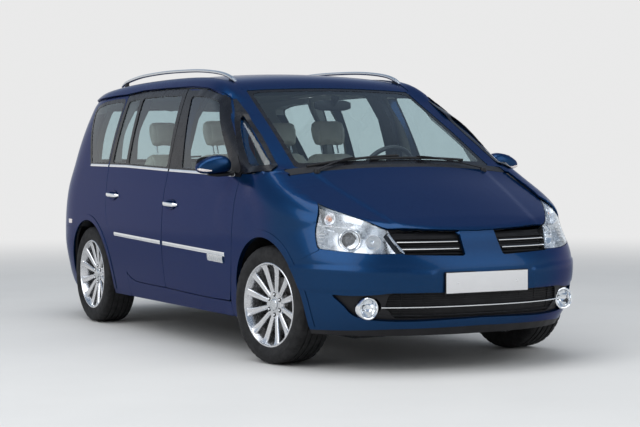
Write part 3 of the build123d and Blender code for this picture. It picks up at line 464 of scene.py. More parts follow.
class Look:
    """A node material with one Principled shader, and short ways to add detail to it."""

    def __init__(self, name, colour, roughness=0.5, metallic=0.0, **extra):
        self.material = bpy.data.materials.new(name)
        self.material.use_nodes = True
        self.tree = self.material.node_tree
        self.shader = self.tree.nodes["Principled BSDF"]
        self.set(self.shader, {"Base Color": (*colour, 1), "Roughness": roughness, "Metallic": metallic})
        self.set(self.shader, {key.replace("_", " "): value for key, value in extra.items()})
        self.colour = colour
        self.roughness = roughness

    def set(self, node, values):
        for key, value in values.items():
            node.inputs[key].default_value = value

    def node(self, kind, **values):
        node = self.tree.nodes.new(kind)
        for key, value in values.items():
            if hasattr(node, key):
                setattr(node, key, value)
            else:
                node.inputs[key.replace("_", " ")].default_value = value
        return node

    def join(self, source, target):
        self.tree.links.new(source, target)

    def place(self):
        return self.node("ShaderNodeTexCoord").outputs["Object"]

    def spread_out(self, texture, stretch=None):
        """A texture's outputs, laid out in the object's own space."""
        source = self.place()
        if stretch:
            mapping = self.node("ShaderNodeMapping", Scale=stretch)
            self.join(source, mapping.inputs["Vector"])
            source = mapping.outputs["Vector"]
        self.join(source, texture.inputs["Vector"])
        return texture.outputs

    def noise(self, scale, detail=3.0, stretch=None):
        return self.spread_out(self.node("ShaderNodeTexNoise", Scale=scale, Detail=detail), stretch)["Fac"]

    def cells(self, scale, feature="F1", output="Distance"):
        return self.spread_out(self.node("ShaderNodeTexVoronoi", feature=feature, Scale=scale))[output]

    def ramp(self, fac, low, high, out_low, out_high):
        """A number mapped from one span to another, smooth at both ends."""
        node = self.node("ShaderNodeMapRange", interpolation_type="SMOOTHSTEP")
        self.join(fac, node.inputs["Value"])
        for key, value in zip(("From Min", "From Max", "To Min", "To Max"), (low, high, out_low, out_high)):
            node.inputs[key].default_value = value
        return node.outputs["Result"]

    def mix(self, fac, first, second):
        node = self.node("ShaderNodeMix", data_type="RGBA")
        self.join(fac, node.inputs["Factor"])
        for key, value in (("A", first), ("B", second)):
            socket = [s for s in node.inputs if s.name == key and s.type == "RGBA"][0]
            if isinstance(value, tuple):
                socket.default_value = (*value, 1)
            else:
                self.join(value, socket)
        return [s for s in node.outputs if s.type == "RGBA"][0]

    def maths(self, operation, a, b=0.5):
        node = self.node("ShaderNodeMath", operation=operation)
        for socket, value in zip(node.inputs, (a, b)):
            if isinstance(value, (int, float)):
                socket.default_value = value
            else:
                self.join(value, socket)
        return node.outputs["Value"]

    def blend(self, share, first, second):
        """The material's surface goes from the first shader to the second as share goes from 0 to 1."""
        mix = self.node("ShaderNodeMixShader")
        for source, target in zip((share, first, second), mix.inputs):
            self.join(source, target)
        self.join(mix.outputs[0], self.tree.nodes["Material Output"].inputs["Surface"])

    def bump(self, height, strength, distance):
        node = self.node("ShaderNodeBump", Strength=strength, Distance=distance)
        self.join(height, node.inputs["Height"])
        before = self.shader.inputs["Normal"]
        if before.is_linked:
            self.join(before.links[0].from_socket, node.inputs["Normal"])
        self.join(node.outputs["Normal"], before)
        return self

    def mottle(self, scale, spread=0.06, rough=0.08, detail=4.0):
        """Slight unevenness of colour and gloss, as real finishes have."""
        fac = self.noise(scale, detail)
        low = tuple(c * (1 - spread) for c in self.colour)
        high = tuple(min(c * (1 + spread) + 0.002, 1) for c in self.colour)
        self.join(self.mix(self.ramp(fac, 0.3, 0.7, 0, 1), low, high), self.shader.inputs["Base Color"])
        self.join(self.ramp(self.noise(scale * 2.3, detail), 0.3, 0.7, max(self.roughness - rough, 0.01),
                            self.roughness + rough), self.shader.inputs["Roughness"])
        return self


COAT = 0.34


def paint(name, inner=False):
    """Dark blue metallic paint under clear lacquer. On packed panels the inner faces carry cabin trim."""
    # The blue Specular Tint is a painted sky reflection: it tints the paint's reflections blue, as a blue sky
    # overhead would.
    look = Look(name, (0.009, 0.038, 0.107), 0.3, 0.8, Specular_IOR_Level=0.1,
                Specular_Tint=(0.15, 0.25, 0.5, 1), Coat_Weight=COAT, Coat_Roughness=0.02, Coat_IOR=1.33)
    flake = look.cells(1500, output="Color")
    value = look.node("ShaderNodeRGBToBW")
    look.join(flake, value.inputs[0])
    colour = look.mix(value.outputs[0], (0.005, 0.026, 0.078), (0.010, 0.050, 0.136))
    rough = look.ramp(value.outputs[0], 0, 1, 0.25, 0.36)
    if inner:
        where = look.place()
        shift = look.node("ShaderNodeVectorMath", operation="SUBTRACT")
        look.join(where, shift.inputs[0])
        split = look.node("ShaderNodeSeparateXYZ")
        look.join(where, split.inputs[0])
        middle = look.node("ShaderNodeCombineXYZ", Z=0.8)
        look.join(look.maths("MULTIPLY", split.outputs["X"], 0.86), middle.inputs["X"])
        look.join(middle.outputs[0], shift.inputs[1])
        facing = look.node("ShaderNodeVectorMath", operation="DOT_PRODUCT")
        look.join(shift.outputs[0], facing.inputs[0])
        look.join(look.node("ShaderNodeNewGeometry").outputs["True Normal"], facing.inputs[1])
        inside = look.ramp(facing.outputs["Value"], 0.12, 0.2, 1, 0)
        inward = look.ramp(facing.outputs["Value"], -0.2, -0.1, 1, 0)
        high = look.maths("MULTIPLY", inward, look.ramp(split.outputs["Z"], 1.0, 1.04, 0, 1))
        grain = look.ramp(look.noise(260, 2), 0.3, 0.7, 0, 1)
        dark = look.mix(grain, (0.02, 0.021, 0.024), (0.032, 0.033, 0.036))
        pale = look.mix(grain, (0.33, 0.32, 0.3), (0.4, 0.39, 0.36))
        colour = look.mix(inside, colour, look.mix(high, dark, pale))
        rough = look.maths("ADD", look.maths("MULTIPLY", inside, 0.4), rough)
        look.join(look.maths("SUBTRACT", 0.8, look.maths("MULTIPLY", inside, 0.8)),
                  look.shader.inputs["Metallic"])
        look.join(look.maths("MULTIPLY", look.maths("SUBTRACT", 1.0, inside), COAT),
                  look.shader.inputs["Coat Weight"])
    look.join(colour, look.shader.inputs["Base Color"])
    look.join(rough, look.shader.inputs["Roughness"])
    look.bump(look.noise(55, 2), 0.012, 0.0004)
    return look.material


def grained(name, colour, roughness, scale=900, depth=0.25, size=0.0004, spread=0.12, level=0.25, **extra):
    """Moulded plastic with a fine pebbled grain."""
    look = Look(name, colour, roughness, Specular_IOR_Level=level, **extra).mottle(9, spread, 0.06)
    look.bump(look.cells(scale), depth, size)
    return look.material


def metal(name, colour, roughness, scale=30, spread=0.08, rough=0.05, brushed=None):
    look = Look(name, colour, roughness, 1.0).mottle(scale, spread, rough)
    if brushed:
        look.bump(look.noise(220, 3, stretch=brushed), 0.12, 0.0003)
    return look.material


def lacquered(name, colour, roughness, metallic, coat, coat_roughness, scale, spread, rough):
    """A coloured lens or metal under a clear coat."""
    look = Look(name, colour, roughness, metallic, Coat_Weight=coat, Coat_Roughness=coat_roughness)
    return look.mottle(scale, spread, rough).material


def window_glass(name, tint):
    """Thin tinted glass: what is behind shows through it, under a mirror that grows towards its edges."""
    look = Look(name, tint)
    look.tree.nodes.remove(look.shader)
    clear = look.node("ShaderNodeBsdfTransparent")
    look.join(look.mix(look.noise(3.0, 2.0), tint, tuple(c * 0.97 for c in tint)), clear.inputs["Color"])
    shine = look.node("ShaderNodeBsdfGlossy", Roughness=0.01, Color=(0.95, 0.98, 1, 1))
    fresnel = look.node("ShaderNodeFresnel", IOR=1.52).outputs[0]
    front = look.maths("SUBTRACT", 1, look.node("ShaderNodeNewGeometry").outputs["Backfacing"])
    look.blend(look.maths("MULTIPLY", fresnel, front), clear.outputs[0], shine.outputs[0])
    return look.material


def leather(name, colour):
    look = Look(name, colour, 0.46, Sheen_Weight=0.12, Sheen_Roughness=0.5).mottle(14, 0.08, 0.07)
    look.bump(look.cells(420, "SMOOTH_F1"), 0.35, 0.0005)
    look.bump(look.noise(26, 4), 0.18, 0.0025)
    return look.material


def rubber():
    look = Look("tyre_rubber", (0.014, 0.014, 0.015), 0.75, Specular_IOR_Level=0.25).mottle(22, 0.25, 0.08)
    look.bump(look.noise(700, 3), 0.15, 0.0003)
    return look.material


def carpet():
    look = Look("carpet", (0.035, 0.035, 0.038), 0.95, Sheen_Weight=0.3).mottle(60, 0.3, 0.03)
    look.bump(look.noise(900, 2), 0.6, 0.002)
    return look.material


PAINT = paint("body_paint")
PANEL = paint("body_panel", inner=True)
GLOSS_BLACK = grained("gloss_black", (0.004, 0.004, 0.006), 0.26, 300, 0.01, 0.0001, level=0.2)
PLASTIC = grained("black_plastic", (0.009, 0.009, 0.011), 0.5)
DEEP = grained("deep_black", (0.004, 0.004, 0.005), 0.62, 500, 0.2, 0.0003)
TRIM = grained("cabin_trim", (0.028, 0.029, 0.033), 0.55, 700, 0.4, 0.0006)
SEAL = grained("window_seal", (0.008, 0.008, 0.009), 0.42, 1200, 0.1, 0.0002)
CHROME = metal("chrome", (0.82, 0.84, 0.86), 0.07, 20, 0.03, 0.02)
SATIN = metal("satin_alloy", (0.62, 0.64, 0.66), 0.26, 40, 0.05, 0.05, brushed=(0.02, 1, 1))
ALLOY = lacquered("wheel_alloy", (0.62, 0.63, 0.65), 0.24, 0.92, 0.5, 0.06, 45, 0.04, 0.04)
STEEL = metal("chassis_steel", (0.045, 0.046, 0.05), 0.55, 25, 0.3, 0.12)
IRON = metal("cast_iron", (0.16, 0.155, 0.15), 0.45, 60, 0.25, 0.12)
ENGINE = metal("engine_alloy", (0.3, 0.3, 0.31), 0.5, 35, 0.2, 0.12)
PIPE = metal("exhaust_steel", (0.35, 0.33, 0.31), 0.35, 12, 0.25, 0.1)
RUBBER = rubber()
LEATHER = leather("leather", (0.66, 0.59, 0.49))
DARK_LEATHER = leather("dark_leather", (0.03, 0.03, 0.032))
CARPET = carpet()
GLASS = window_glass("tinted_glass", (0.79, 0.86, 0.87))
SCREEN = window_glass("windscreen_glass", (0.88, 0.935, 0.94))
LENS = window_glass("clear_lens", (0.985, 0.99, 0.995))
PLATE = grained("plate_white", (0.7, 0.7, 0.71), 0.4, 500, 0.05, 0.0002, spread=0.01)
RED = lacquered("red_lens", (0.42, 0.008, 0.01), 0.1, 0, 1, 0.03, 30, 0.2, 0.04)
AMBER = lacquered("amber_bulb", (0.55, 0.17, 0.04), 0.15, 0, 0.8, 0.03, 60, 0.1, 0.05)
CLEAR_RED = lacquered("pale_lens", (0.75, 0.68, 0.66), 0.12, 0, 1, 0.03, 60, 0.06, 0.04)
LAMP_EYE = lacquered("lamp_eye", (0.05, 0.055, 0.06), 0.03, 0.6, 1, 0.01, 40, 0.2, 0.02)
LAMP_GREY = metal("lamp_reflector", (0.8, 0.82, 0.84), 0.3, 30, 0.05, 0.05)
MIRROR = metal("mirror_glass", (0.85, 0.87, 0.88), 0.02, 5, 0.01, 0.005)

SLOT_OF = {
    PAINT: "body_paint", GLOSS_BLACK: "black_plastic", PLASTIC: "black_plastic", DEEP: "black_plastic",
    SEAL: "black_plastic", TRIM: "cabin_trim", CHROME: "satin_alloy", SATIN: "satin_alloy",
    LAMP_GREY: "satin_alloy", ALLOY: "wheel_alloy", IRON: "cast_iron", RUBBER: "tyre_rubber",
    LEATHER: "leather", DARK_LEATHER: "leather", GLASS: "tinted_glass", SCREEN: "tinted_glass",
    LENS: "clear_lens", LAMP_EYE: "clear_lens", CLEAR_RED: "clear_lens", RED: "red_lens", AMBER: "red_lens",
}
NODE_LOOKS = {
    PANEL: ["roof_panel", "side_frames", "quarter_panels", "front_fenders", "sills", "hood", "cowl_panel",
            "front_bumper", "rear_bumper", "front_left_door", "front_right_door", "rear_left_door",
            "rear_right_door", "tailgate", "left_mirror", "right_mirror"],
    GLASS: ["front_left_glass", "front_right_glass", "rear_left_glass", "rear_right_glass",
            "quarter_glass", "tailgate_glass"],
    SCREEN: ["windscreen"],
    LENS: ["headlamps", "fog_lamps"],
    RED: ["tail_lamps"],
    DEEP: ["grilles", "wheel_liners"],
    TRIM: ["dashboard", "centre_pillars", "steering_wheel"],
    CARPET: ["floor_pan"],
    ENGINE: ["engine"],
    PIPE: ["exhaust"],
    STEEL: ["fuel_tank", "front_suspension", "rear_axle"],
    IRON: ["left_knuckle", "right_knuckle"],
    SATIN: ["roof_bars"],
    LEATHER: ["front_seats", "second_row_seats"],
    ALLOY: [f"{end}_{side}_wheel" for end in ("front", "rear") for side in PAIR],
    RUBBER: [f"{end}_{side}_tyre" for end in ("front", "rear") for side in PAIR],
}
for look, names in NODE_LOOKS.items():
    for node_name in names:
        node_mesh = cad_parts[node_name].data
        node_mesh.materials.clear()
        node_mesh.materials.append(look)

# ---------------------------------------------------------------- outlines of the left side, in millimetres

front_door_outline = [
    (1079, 1070), (1070, 930), (1058, 780), (1045, 660), (1010, 520), (968, 395), (930, 325),
    (640, 322), (300, 328), (-31, 336), (-10, 572), (15, 764), (16, 953), (9, 1066), (-2, 1300),
    (-26, 1588), (58, 1590), (300, 1574), (430, 1547), (514, 1528), (572, 1505), (700, 1420),
    (854, 1300), (981, 1183),
]
rear_door_outline = [
    (-1, 1066), (6, 953), (5, 764), (-20, 572), (-39, 336), (-300, 338), (-540, 342), (-633, 362),
    (-717, 418), (-808, 510), (-885, 592), (-945, 656), (-983, 725), (-1000, 810), (-1019, 933),
    (-1050, 1014), (-1070, 1090), (-1064, 1300), (-1050, 1574), (-782, 1590), (-400, 1593),
    (-42, 1590), (-14, 1300),
]
side_frame_outline = [
    (1405, 1068), (1090, 1072), (989, 1190), (861, 1308), (706, 1430), (576, 1514), (516, 1538),
    (431, 1557), (301, 1584), (58, 1600), (-400, 1603), (-782, 1600), (-1065, 1582), (-1300, 1577),
    (-1700, 1560), (-2030, 1530), (-2500, 1500), (-2500, 1850), (1405, 1850),
]
quarter_outline = [
    (-1061, 1576), (-1074, 1300), (-1080, 1092), (-1060, 1010), (-1028, 931), (-1009, 812),
    (-992, 727), (-953, 661), (-892, 598), (-815, 517), (-724, 425), (-690, 400), (-690, 232),
    (-1400, 232), (-1400, 662), (-2500, 662), (-2500, 1494), (-2030, 1524), (-1700, 1554),
    (-1300, 1571),
]
fender_outline = [
    (1088, 1062), (1079, 930), (1067, 779), (1054, 658), (1019, 517), (977, 391), (948, 325),
    (948, 232), (1436, 232), (1436, 561), (1700, 561), (1798, 597), (1921, 665), (1921, 1300),
    (1400, 1300), (1400, 1062),
]
sill_outline = [
    (942, 314), (640, 313), (300, 319), (-31, 327), (-300, 329), (-540, 333), (-638, 353),
    (-684, 388), (-684, 232), (942, 232),
]
front_bumper_outline = [
    (1700, 205), (1700, 556), (1798, 592), (1926, 660), (1926, 1100), (2500, 1100), (2500, 205),
]
rear_bumper_outline = [(-1500, 232), (-1500, 656), (-2500, 656), (-2500, 232)]
front_door_window = [(200, 1087), (58, 1550), (300, 1539), (470, 1512), (545, 1485), (960, 1072)]
rear_door_window = [(-25, 1090), (-87, 1556), (-400, 1560), (-765, 1556), (-725, 1108)]
rear_door_pane = [(-755, 1109), (-797, 1555), (-1010, 1540), (-1022, 1112)]
front_quarter_window = [
    (752, 1415), (829, 1352), (1037, 1189), (1125, 1124), (1185, 1100), (1300, 1097), (1257, 1128),
    (1066, 1243), (840, 1374),
]
rear_quarter_window = [
    (-1104, 1114), (-1090, 1538), (-1300, 1535), (-1500, 1524), (-1610, 1500), (-1636, 1465),
    (-1590, 1350), (-1440, 1112),
]
hood_outline = [
    (1442, 0), (1428, 400), (1402, 738), (1600, 752), (1790, 722), (1950, 632), (2074, 552),
    (2118, 505), (2190, 300), (2224, 0),
]
cowl_outline = [
    (1434, 0), (1420, 400), (1394, 732), (1340, 732), (1340, 660), (1376, 400), (1394, 0),
]
windscreen_outline = [(1388, 0), (1370, 400), (1334, 654), (503, 568), (512, 300), (515, 0)]
roof_outline = [
    (509, 0), (506, 300), (497, 590), (-1850, 590), (-1935, 500), (-1995, 400), (-2026, 300),
    (-2048, 0),
]
tailgate_outline = [(0, 1700), (575, 1700), (575, 1450), (622, 1050), (652, 690), (648, 662), (0, 662)]
tailgate_window = [(0, 1108), (548, 1112), (512, 1470), (480, 1512), (0, 1524)]
headlamp_outline = [
    (700, 960), (727, 918), (788, 818), (806, 745), (812, 672), (620, 646), (446, 650), (505, 757),
    (505, 1100),
]
tail_lamp_outline = [(634, 1045), (592, 1440), (640, 1440), (732, 1045)]
grille_outline = [(118, 629), (104, 850), (508, 850), (508, 752), (484, 690), (456, 640)]
lower_grille_outline = [(0, 290), (500, 290), (560, 360), (545, 438), (0, 438)]
intake_outline = [
    (0, 292), (400, 283), (541, 284), (655, 299), (700, 325), (730, 368), (786, 432), (734, 425),
    (670, 426), (590, 432), (545, 440), (0, 440),
]
grille_back = [(102, 612), (92, 766), (515, 766), (524, 745), (472, 622)]
FOG = (632, 357)
FRONT_ARCH = (1436.5, 335)
REAR_ARCH = (-1366.5, 335)
ARCH_RADIUS = 384
GROW = 1.6
QUARTER_LINE = ([560, 587, 732, 873, 1009, 1164, 1303, 1350], [820, 690, 700, 710, 720, 742, 763, 850])
LIP_WIDTH = 36


def belt(x):
    """Height of the chrome strip's lower edge along the doors."""
    return np.interp(x, [-1450, -750, 0, 980, 1100], [1092, 1088, 1069, 1049, 1046])


# ---------------------------------------------------------------- outer skin

def soft_step(t):
    t = np.clip(t, 0, 1)
    return t * t * (3 - 2 * t)


def arch_cut(sheet, centre):
    return clipped(sheet, -circle_distance(sheet[0], "side", centre, ARCH_RADIUS - GROW))


def doors():
    for name, outline, holes, span in (
        ("front", front_door_outline, [front_door_window], (-70, 1100)),
        ("rear", rear_door_outline, [rear_door_window, rear_door_pane], (-1090, 30)),
    ):
        whole = side_sheet(span[0], span[1], 300, 1606, 15)
        whole = trimmed(whole, "side", outline, grow=GROW)
        height = whole[0][:, 2] - belt(whole[0][:, 0])
        body = f"{name}_SIDE_door"
        panel(f"{name}_SIDE_door_skin", body, clipped(whole, height), PAINT, rim=5.0,
              over=(f"{name}_left_door",))
        frame_sheet = clipped(whole, -height)
        for hole in holes:
            frame_sheet = trimmed(frame_sheet, "side", hole, "outside", grow=-6, corner=30)
        panel(f"{name}_SIDE_door_frame", body, frame_sheet, GLOSS_BLACK, rim=4.4,
              over=(f"{name}_left_door",))


def pillar_reach(p):
    """How far a point lies inboard of the front quarter light's edge along the windscreen pillar."""
    return np.interp(p[:, 0], *QUARTER_LINE) - p[:, 1]


def quarter_light(p):
    """Below zero inside the front quarter light's glass."""
    side = edge_distance(p[:, 0], p[:, 2], rounded(front_quarter_window, 14))
    return np.maximum(side, pillar_reach(p))


def side_frames():
    sheet = rail_sheet(-1960, 1415, 22, 80, 300, under_roof, 15)
    sheet = trimmed(sheet, "side", side_frame_outline, grow=GROW)
    sheet = trimmed(sheet, "plan", both_sides(windscreen_outline), "outside", grow=5 - GROW)
    sheet = trimmed(sheet, "plan", both_sides(cowl_outline), "outside", grow=5 - GROW)
    sheet = trimmed(sheet, "plan", both_sides(hood_outline), "outside", grow=8 - GROW)
    sheet = trimmed(sheet, "plan", both_sides(roof_outline), "outside", grow=5 - GROW)
    sheet = trimmed(sheet, "front", across_sides(tailgate_outline), "outside", grow=8 - GROW, beyond=-1700)
    edge = pillar_reach(sheet[0]) - 14
    panel("SIDE_side_frame_skin", "body", clipped(sheet, -edge), PAINT,
          over=("side_frames",))
    seal = clipped(sheet, edge)
    seal = clipped(seal, -3 - quarter_light(seal[0]))
    panel("SIDE_front_quarter_seal", "body", seal, GLOSS_BLACK, rim=6,
          over=("side_frames",))


def quarter_panels():
    sheet = pole_sheet(-1300, 200, 40, 160, 225, 1590, 21)
    sheet = trimmed(sheet, "side", quarter_outline, grow=GROW)
    sheet = trimmed(sheet, "side", rear_quarter_window, "outside", grow=22, corner=40)
    sheet = arch_cut(sheet, REAR_ARCH)
    sheet = trimmed(sheet, "plan", both_sides(roof_outline), "outside", grow=5 - GROW)
    sheet = trimmed(sheet, "front", across_sides(tailgate_outline), "outside", grow=8 - GROW, beyond=-1700)
    sheet = trimmed(sheet, "front", tail_lamp_outline, "outside", grow=5 - GROW, beyond=-1880)
    panel("SIDE_quarter_skin", "body", sheet, PAINT, over=("quarter_panels",))


def fenders():
    sheet = rail_sheet(940, 1930, -42, 75, 350, lambda x: np.full(np.shape(x), 600.0))
    sheet = trimmed(sheet, "side", fender_outline, grow=GROW)
    sheet = trimmed(sheet, "plan", both_sides(hood_outline), "outside", grow=8 - GROW)
    sheet = trimmed(sheet, "plan", both_sides(cowl_outline), "outside", grow=5 - GROW)
    sheet = trimmed(sheet, "front", headlamp_outline, "outside", grow=5 - GROW, beyond=1640)
    sheet = arch_cut(sheet, FRONT_ARCH)
    panel("SIDE_fender_skin", "body", sheet, PAINT, over=("front_fenders",))


def sills():
    sheet = trimmed(side_sheet(-700, 955, 225, 400), "side", sill_outline, grow=GROW)
    sheet = arch_cut(arch_cut(sheet, FRONT_ARCH), REAR_ARCH)
    panel("SIDE_sill_skin", "body", sheet, PAINT, over=("sills",))


def arch_lips():
    """Raised lips round the wheel arches."""
    for name, centre, low in (("front", FRONT_ARCH, 245), ("rear", REAR_ARCH, 262)):
        reach = ARCH_RADIUS + LIP_WIDTH + 20
        sheet = side_sheet(centre[0] - reach, centre[0] + reach, low, centre[1] + reach, 10)
        sheet = clipped(sheet, circle_distance(sheet[0], "side", centre, ARCH_RADIUS + LIP_WIDTH))
        sheet = clipped(sheet, -circle_distance(sheet[0], "side", centre, ARCH_RADIUS - GROW))
        nodes = ("front_fenders", "sills") if name == "front" else ("quarter_panels", "rear_bumper", "sills")
        panel(f"{name}_SIDE_arch_lip", "body", sheet, PAINT, height=6.5, thick=3, rim=9, over=nodes, rounds=4)


def top_panels():
    sheet = trimmed(top_sheet(-2065, 525, -605, 605, 28), "plan", both_sides(roof_outline), grow=GROW)
    panel("roof_skin", "body", sheet, PAINT, over=("roof_panel",))
    sheet = trimmed(top_sheet(1385, 2240, -765, 765), "plan", both_sides(hood_outline), grow=GROW)
    made = panel("hood_skin", "hood", sheet, PAINT, rim=14.0, shape=hood_shape)[0]
    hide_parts("hood")
    inner = trimmed(top_sheet(1385, 2240, -765, 765, 28), "plan", both_sides(hood_outline), grow=-9)
    panel("hood_inner", "hood", inner, PAINT, height=-9, thick=3, rim=6, shape=hood_ribs)
    sheet = trimmed(top_sheet(1325, 1450, -745, 745), "plan", both_sides(cowl_outline), grow=GROW)
    panel("cowl_skin", "body", sheet, PLASTIC)


def hood_ribs(p):
    """The inner panel's ribs, drawn down between the hollows."""
    across_ribs = np.abs(np.sin((p[:, 1] + 160) * pi / 320))
    along_ribs = np.abs(np.sin((p[:, 0] - 1430) * pi / 250))
    return -12 * soft_step(1.6 * np.minimum(across_ribs, along_ribs))


def hood_shape(p):
    """The middle of the hood stands a little higher, between two creases that run to the grille."""
    line = np.interp(p[:, 0], [1420, 1634, 1807, 1973, 2138, 2230], [590, 558, 526, 493, 457, 440])
    fade = np.clip((2200 - p[:, 0]) / 120, 0, 1)
    return 5.0 * soft_step((line - np.abs(p[:, 1])) / 26) * fade


def tailgate():
    sheet = beam_sheet(-1500, 1100, -670, 670, 122, 213, 21)
    sheet = trimmed(sheet, "front", across_sides(tailgate_outline), grow=GROW)
    sheet = trimmed(sheet, "front", across_sides(tailgate_window), "outside", grow=18, corner=50)
    sheet = trimmed(sheet, "plan", both_sides(roof_outline), "outside", grow=8 - GROW)
    panel("tailgate_skin", "tailgate", sheet, PAINT, over=("tailgate",))


def bumper_shape(p):
    """A band round the bumper stands proud, from the wheel arches to both sides of the number plate."""
    y, z = np.abs(p[:, 1]), p[:, 2]
    over = np.interp(y, [313, 493, 695, 836], [552, 566, 574, 578])
    band = soft_step((over - z) / 9) * soft_step((z - 442) / 12) * soft_step((y - 304) / 16)
    return 7 * band


def bumpers():
    """The front bumper's skin round both grilles and the fog lamps, its dark lip, and the rear bumper."""
    sheet = pole_sheet(1300, 0, -70, 70, 203, 780, 12)
    sheet = trimmed(sheet, "side", front_bumper_outline, grow=GROW)
    sheet = trimmed(sheet, "plan", both_sides(hood_outline), "outside", grow=8 - GROW)
    for side in (1, -1):
        lamp = [(side * y, z) for y, z in headlamp_outline]
        sheet = trimmed(sheet, "front", lamp, "outside", grow=5 - GROW)
        sheet = trimmed(sheet, "front", [(side * y, z) for y, z in grille_outline], "outside", corner=16)
    sheet = trimmed(sheet, "front", across_sides(intake_outline), "outside", corner=22)
    sheet = arch_cut(sheet, FRONT_ARCH)
    lip = sheet[0][:, 2] - np.interp(np.abs(sheet[0][:, 1]), [0, 500, 900], [250, 243, 222])
    skin = panel("front_bumper_skin", "body", clipped(sheet, -lip), PAINT, rim=24,
                 shape=bumper_shape)[0]
    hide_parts("front_bumper")
    panel("front_lip", "body", clipped(sheet, lip), PLASTIC, height=1, rim=24)
    sheet = pole_sheet(1300, 0, -50, 50, 270, 780, 14)
    surround = trimmed(sheet, "front", across_sides(intake_outline), grow=5, corner=24)
    surround = trimmed(surround, "front", across_sides(lower_grille_outline), "outside", grow=-2, corner=30)
    for side in (1, -1):
        surround = clipped(surround, -circle_distance(surround[0], "front", (side * FOG[0], FOG[1]), 58))
    panel("fog_surround", "body", surround, PLASTIC, height=-17, thick=3, rim=20)
    for side in (1, -1):
        back = trimmed(sheet, "front", [(side * y, z) for y, z in grille_back], corner=10)
        name = "left" if side > 0 else "right"
        panel(f"{name}_grille_back", "body", back, DEEP, height=-30, thick=3, rim=4)
    sheet = pole_sheet(-1200, 0, 106, 254, 228, 662, 21)
    sheet = trimmed(sheet, "side", rear_bumper_outline, grow=GROW)
    sheet = arch_cut(sheet, REAR_ARCH)
    panel("rear_bumper_skin", "body", sheet, PAINT, over=("rear_bumper",))


doors()
side_frames()
quarter_panels()
fenders()
sills()
arch_lips()
top_panels()
tailgate()
bumpers()

# ---------------------------------------------------------------- shapes for the details

def joined(shapes):
    """Several (points, faces) shapes as one."""
    points, faces, base = [], [], 0
    for p, f in shapes:
        points.append(np.asarray(p, float))
        faces += [tuple(i + base for i in face) for face in f]
        base += len(p)
    return np.concatenate(points), faces


def rings_shape(rings, closed_ring=True, caps=True, loop=False):
    """A surface through rings of points, each with the same count."""
    n, m = len(rings), len(rings[0])
    faces = []
    for i in range(n if loop else n - 1):
        for j in range(m if closed_ring else m - 1):
            a, b = i * m + j, i * m + (j + 1) % m
            c, d = ((i + 1) % n) * m + (j + 1) % m, ((i + 1) % n) * m + j
            faces.append((a, b, c, d))
    if caps and not loop:
        faces.append(tuple(range(m))[::-1])
        faces.append(tuple(range((n - 1) * m, n * m)))
    return np.concatenate([np.asarray(r, float) for r in rings]), faces


def turned(profile, origin=(0, 0, 0), axis=(0, 1, 0), count=48, closed=False):
    """A shape of revolution from (along, radius) points."""
    w = np.array(axis, float) / np.linalg.norm(axis)
    side = np.cross(w, (0, 0, 1.0))
    u = side / np.linalg.norm(side) if np.linalg.norm(side) > 0.1 else np.array([1.0, 0, 0])
    v = np.cross(w, u)
    origin = np.array(origin, float)
    rings = []
    for k in range(count):
        turn = 2 * pi * k / count
        out = u * cos(turn) + v * sin(turn)
        rings.append([origin + w * a + out * max(r, 0.01) for a, r in profile])
    return rings_shape(rings, closed_ring=closed, caps=False, loop=True)


def swept(path, width, height, sides=12, power=2.4, up=(0, 0, 1), taper=None):
    """A bar of oval section along a path; its ends draw in when taper gives their lengths in points."""
    path = np.asarray(path, float)
    n = len(path)
    rings = []
    for i in range(n):
        ahead = path[min(i + 1, n - 1)] - path[max(i - 1, 0)]
        ahead /= np.linalg.norm(ahead)
        across = np.cross(ahead, up)
        across /= np.linalg.norm(across)
        over = np.cross(across, ahead)
        scale = taper[i] if taper is not None else 1
        ring = []
        for k in range(sides):
            t = 2 * pi * (k + 0.5) / sides
            c, s = cos(t), sin(t)
            ring.append(
                path[i] + across * width / 2 * scale * np.sign(c) * abs(c) ** (2 / power)
                + over * height / 2 * scale * np.sign(s) * abs(s) ** (2 / power)
            )
        rings.append(ring)
    return rings_shape(rings)


def soft_box(centre, size, edge=3.0, segments=2):
    """A box with rounded edges."""
    bm = bmesh.new()
    bmesh.ops.create_cube(bm, size=1.0)
    bmesh.ops.scale(bm, vec=size, verts=bm.verts)
    bmesh.ops.bevel(bm, geom=list(bm.edges), offset=min(edge, min(size) * 0.45), segments=segments,
                    profile=0.6, affect="EDGES")
    points = np.array([tuple(v.co) for v in bm.verts])
    bm.verts.index_update()
    faces = [tuple(v.index for v in f.verts) for f in bm.faces]
    bm.free()
    return points + np.asarray(centre, float), faces


def flipped(shape):
    """A shape's twin on the other side of the car."""
    points, faces = shape
    return points * np.array([1, -1, 1]), [tuple(reversed(f)) for f in faces]


def part(name, shape, material, body, sharp=35, slot=None, flip=False):
    points, faces = flipped(shape) if flip else shape
    o = mesh_object(name, points, faces, material, body, slot=slot)
    bm = bmesh.new()
    bm.from_mesh(o.data)
    bmesh.ops.remove_doubles(bm, verts=bm.verts, dist=0.00002)
    bmesh.ops.recalc_face_normals(bm, faces=bm.faces)
    bm.to_mesh(o.data)
    bm.free()
    o.data.set_sharp_from_angle(angle=radians(sharp))
    return o


def pair(name, shape, material, body, **extra):
    """Left and right twins of a left-hand shape."""
    return [
        part(name.replace("SIDE", side), shape, material, body.replace("SIDE", side), flip=side == "right",
             **extra)
        for side in PAIR
    ]


def surface(start, direction, reach):
    """Where rays from inside the body, all in one direction, leave it."""
    start = np.stack(np.broadcast_arrays(*start), -1).reshape(-1, 3).astype(float)
    return shoot(start, np.tile(direction, (len(start), 1)), reach)[0]


def front_x(y, z):
    """How far forward the body surface lies at (y, z)."""
    return surface((1500.0, y, z), (1.0, 0, 0), 1100)[:, 0]


def rear_x(y, z, height=0.0):
    return surface((-1300.0, y, z), (-1.0, 0, 0), 1300)[:, 0] - height


def side_y(x, z):
    return surface((x, 0.0, z), (0, 1.0, 0), 1100)[:, 1]


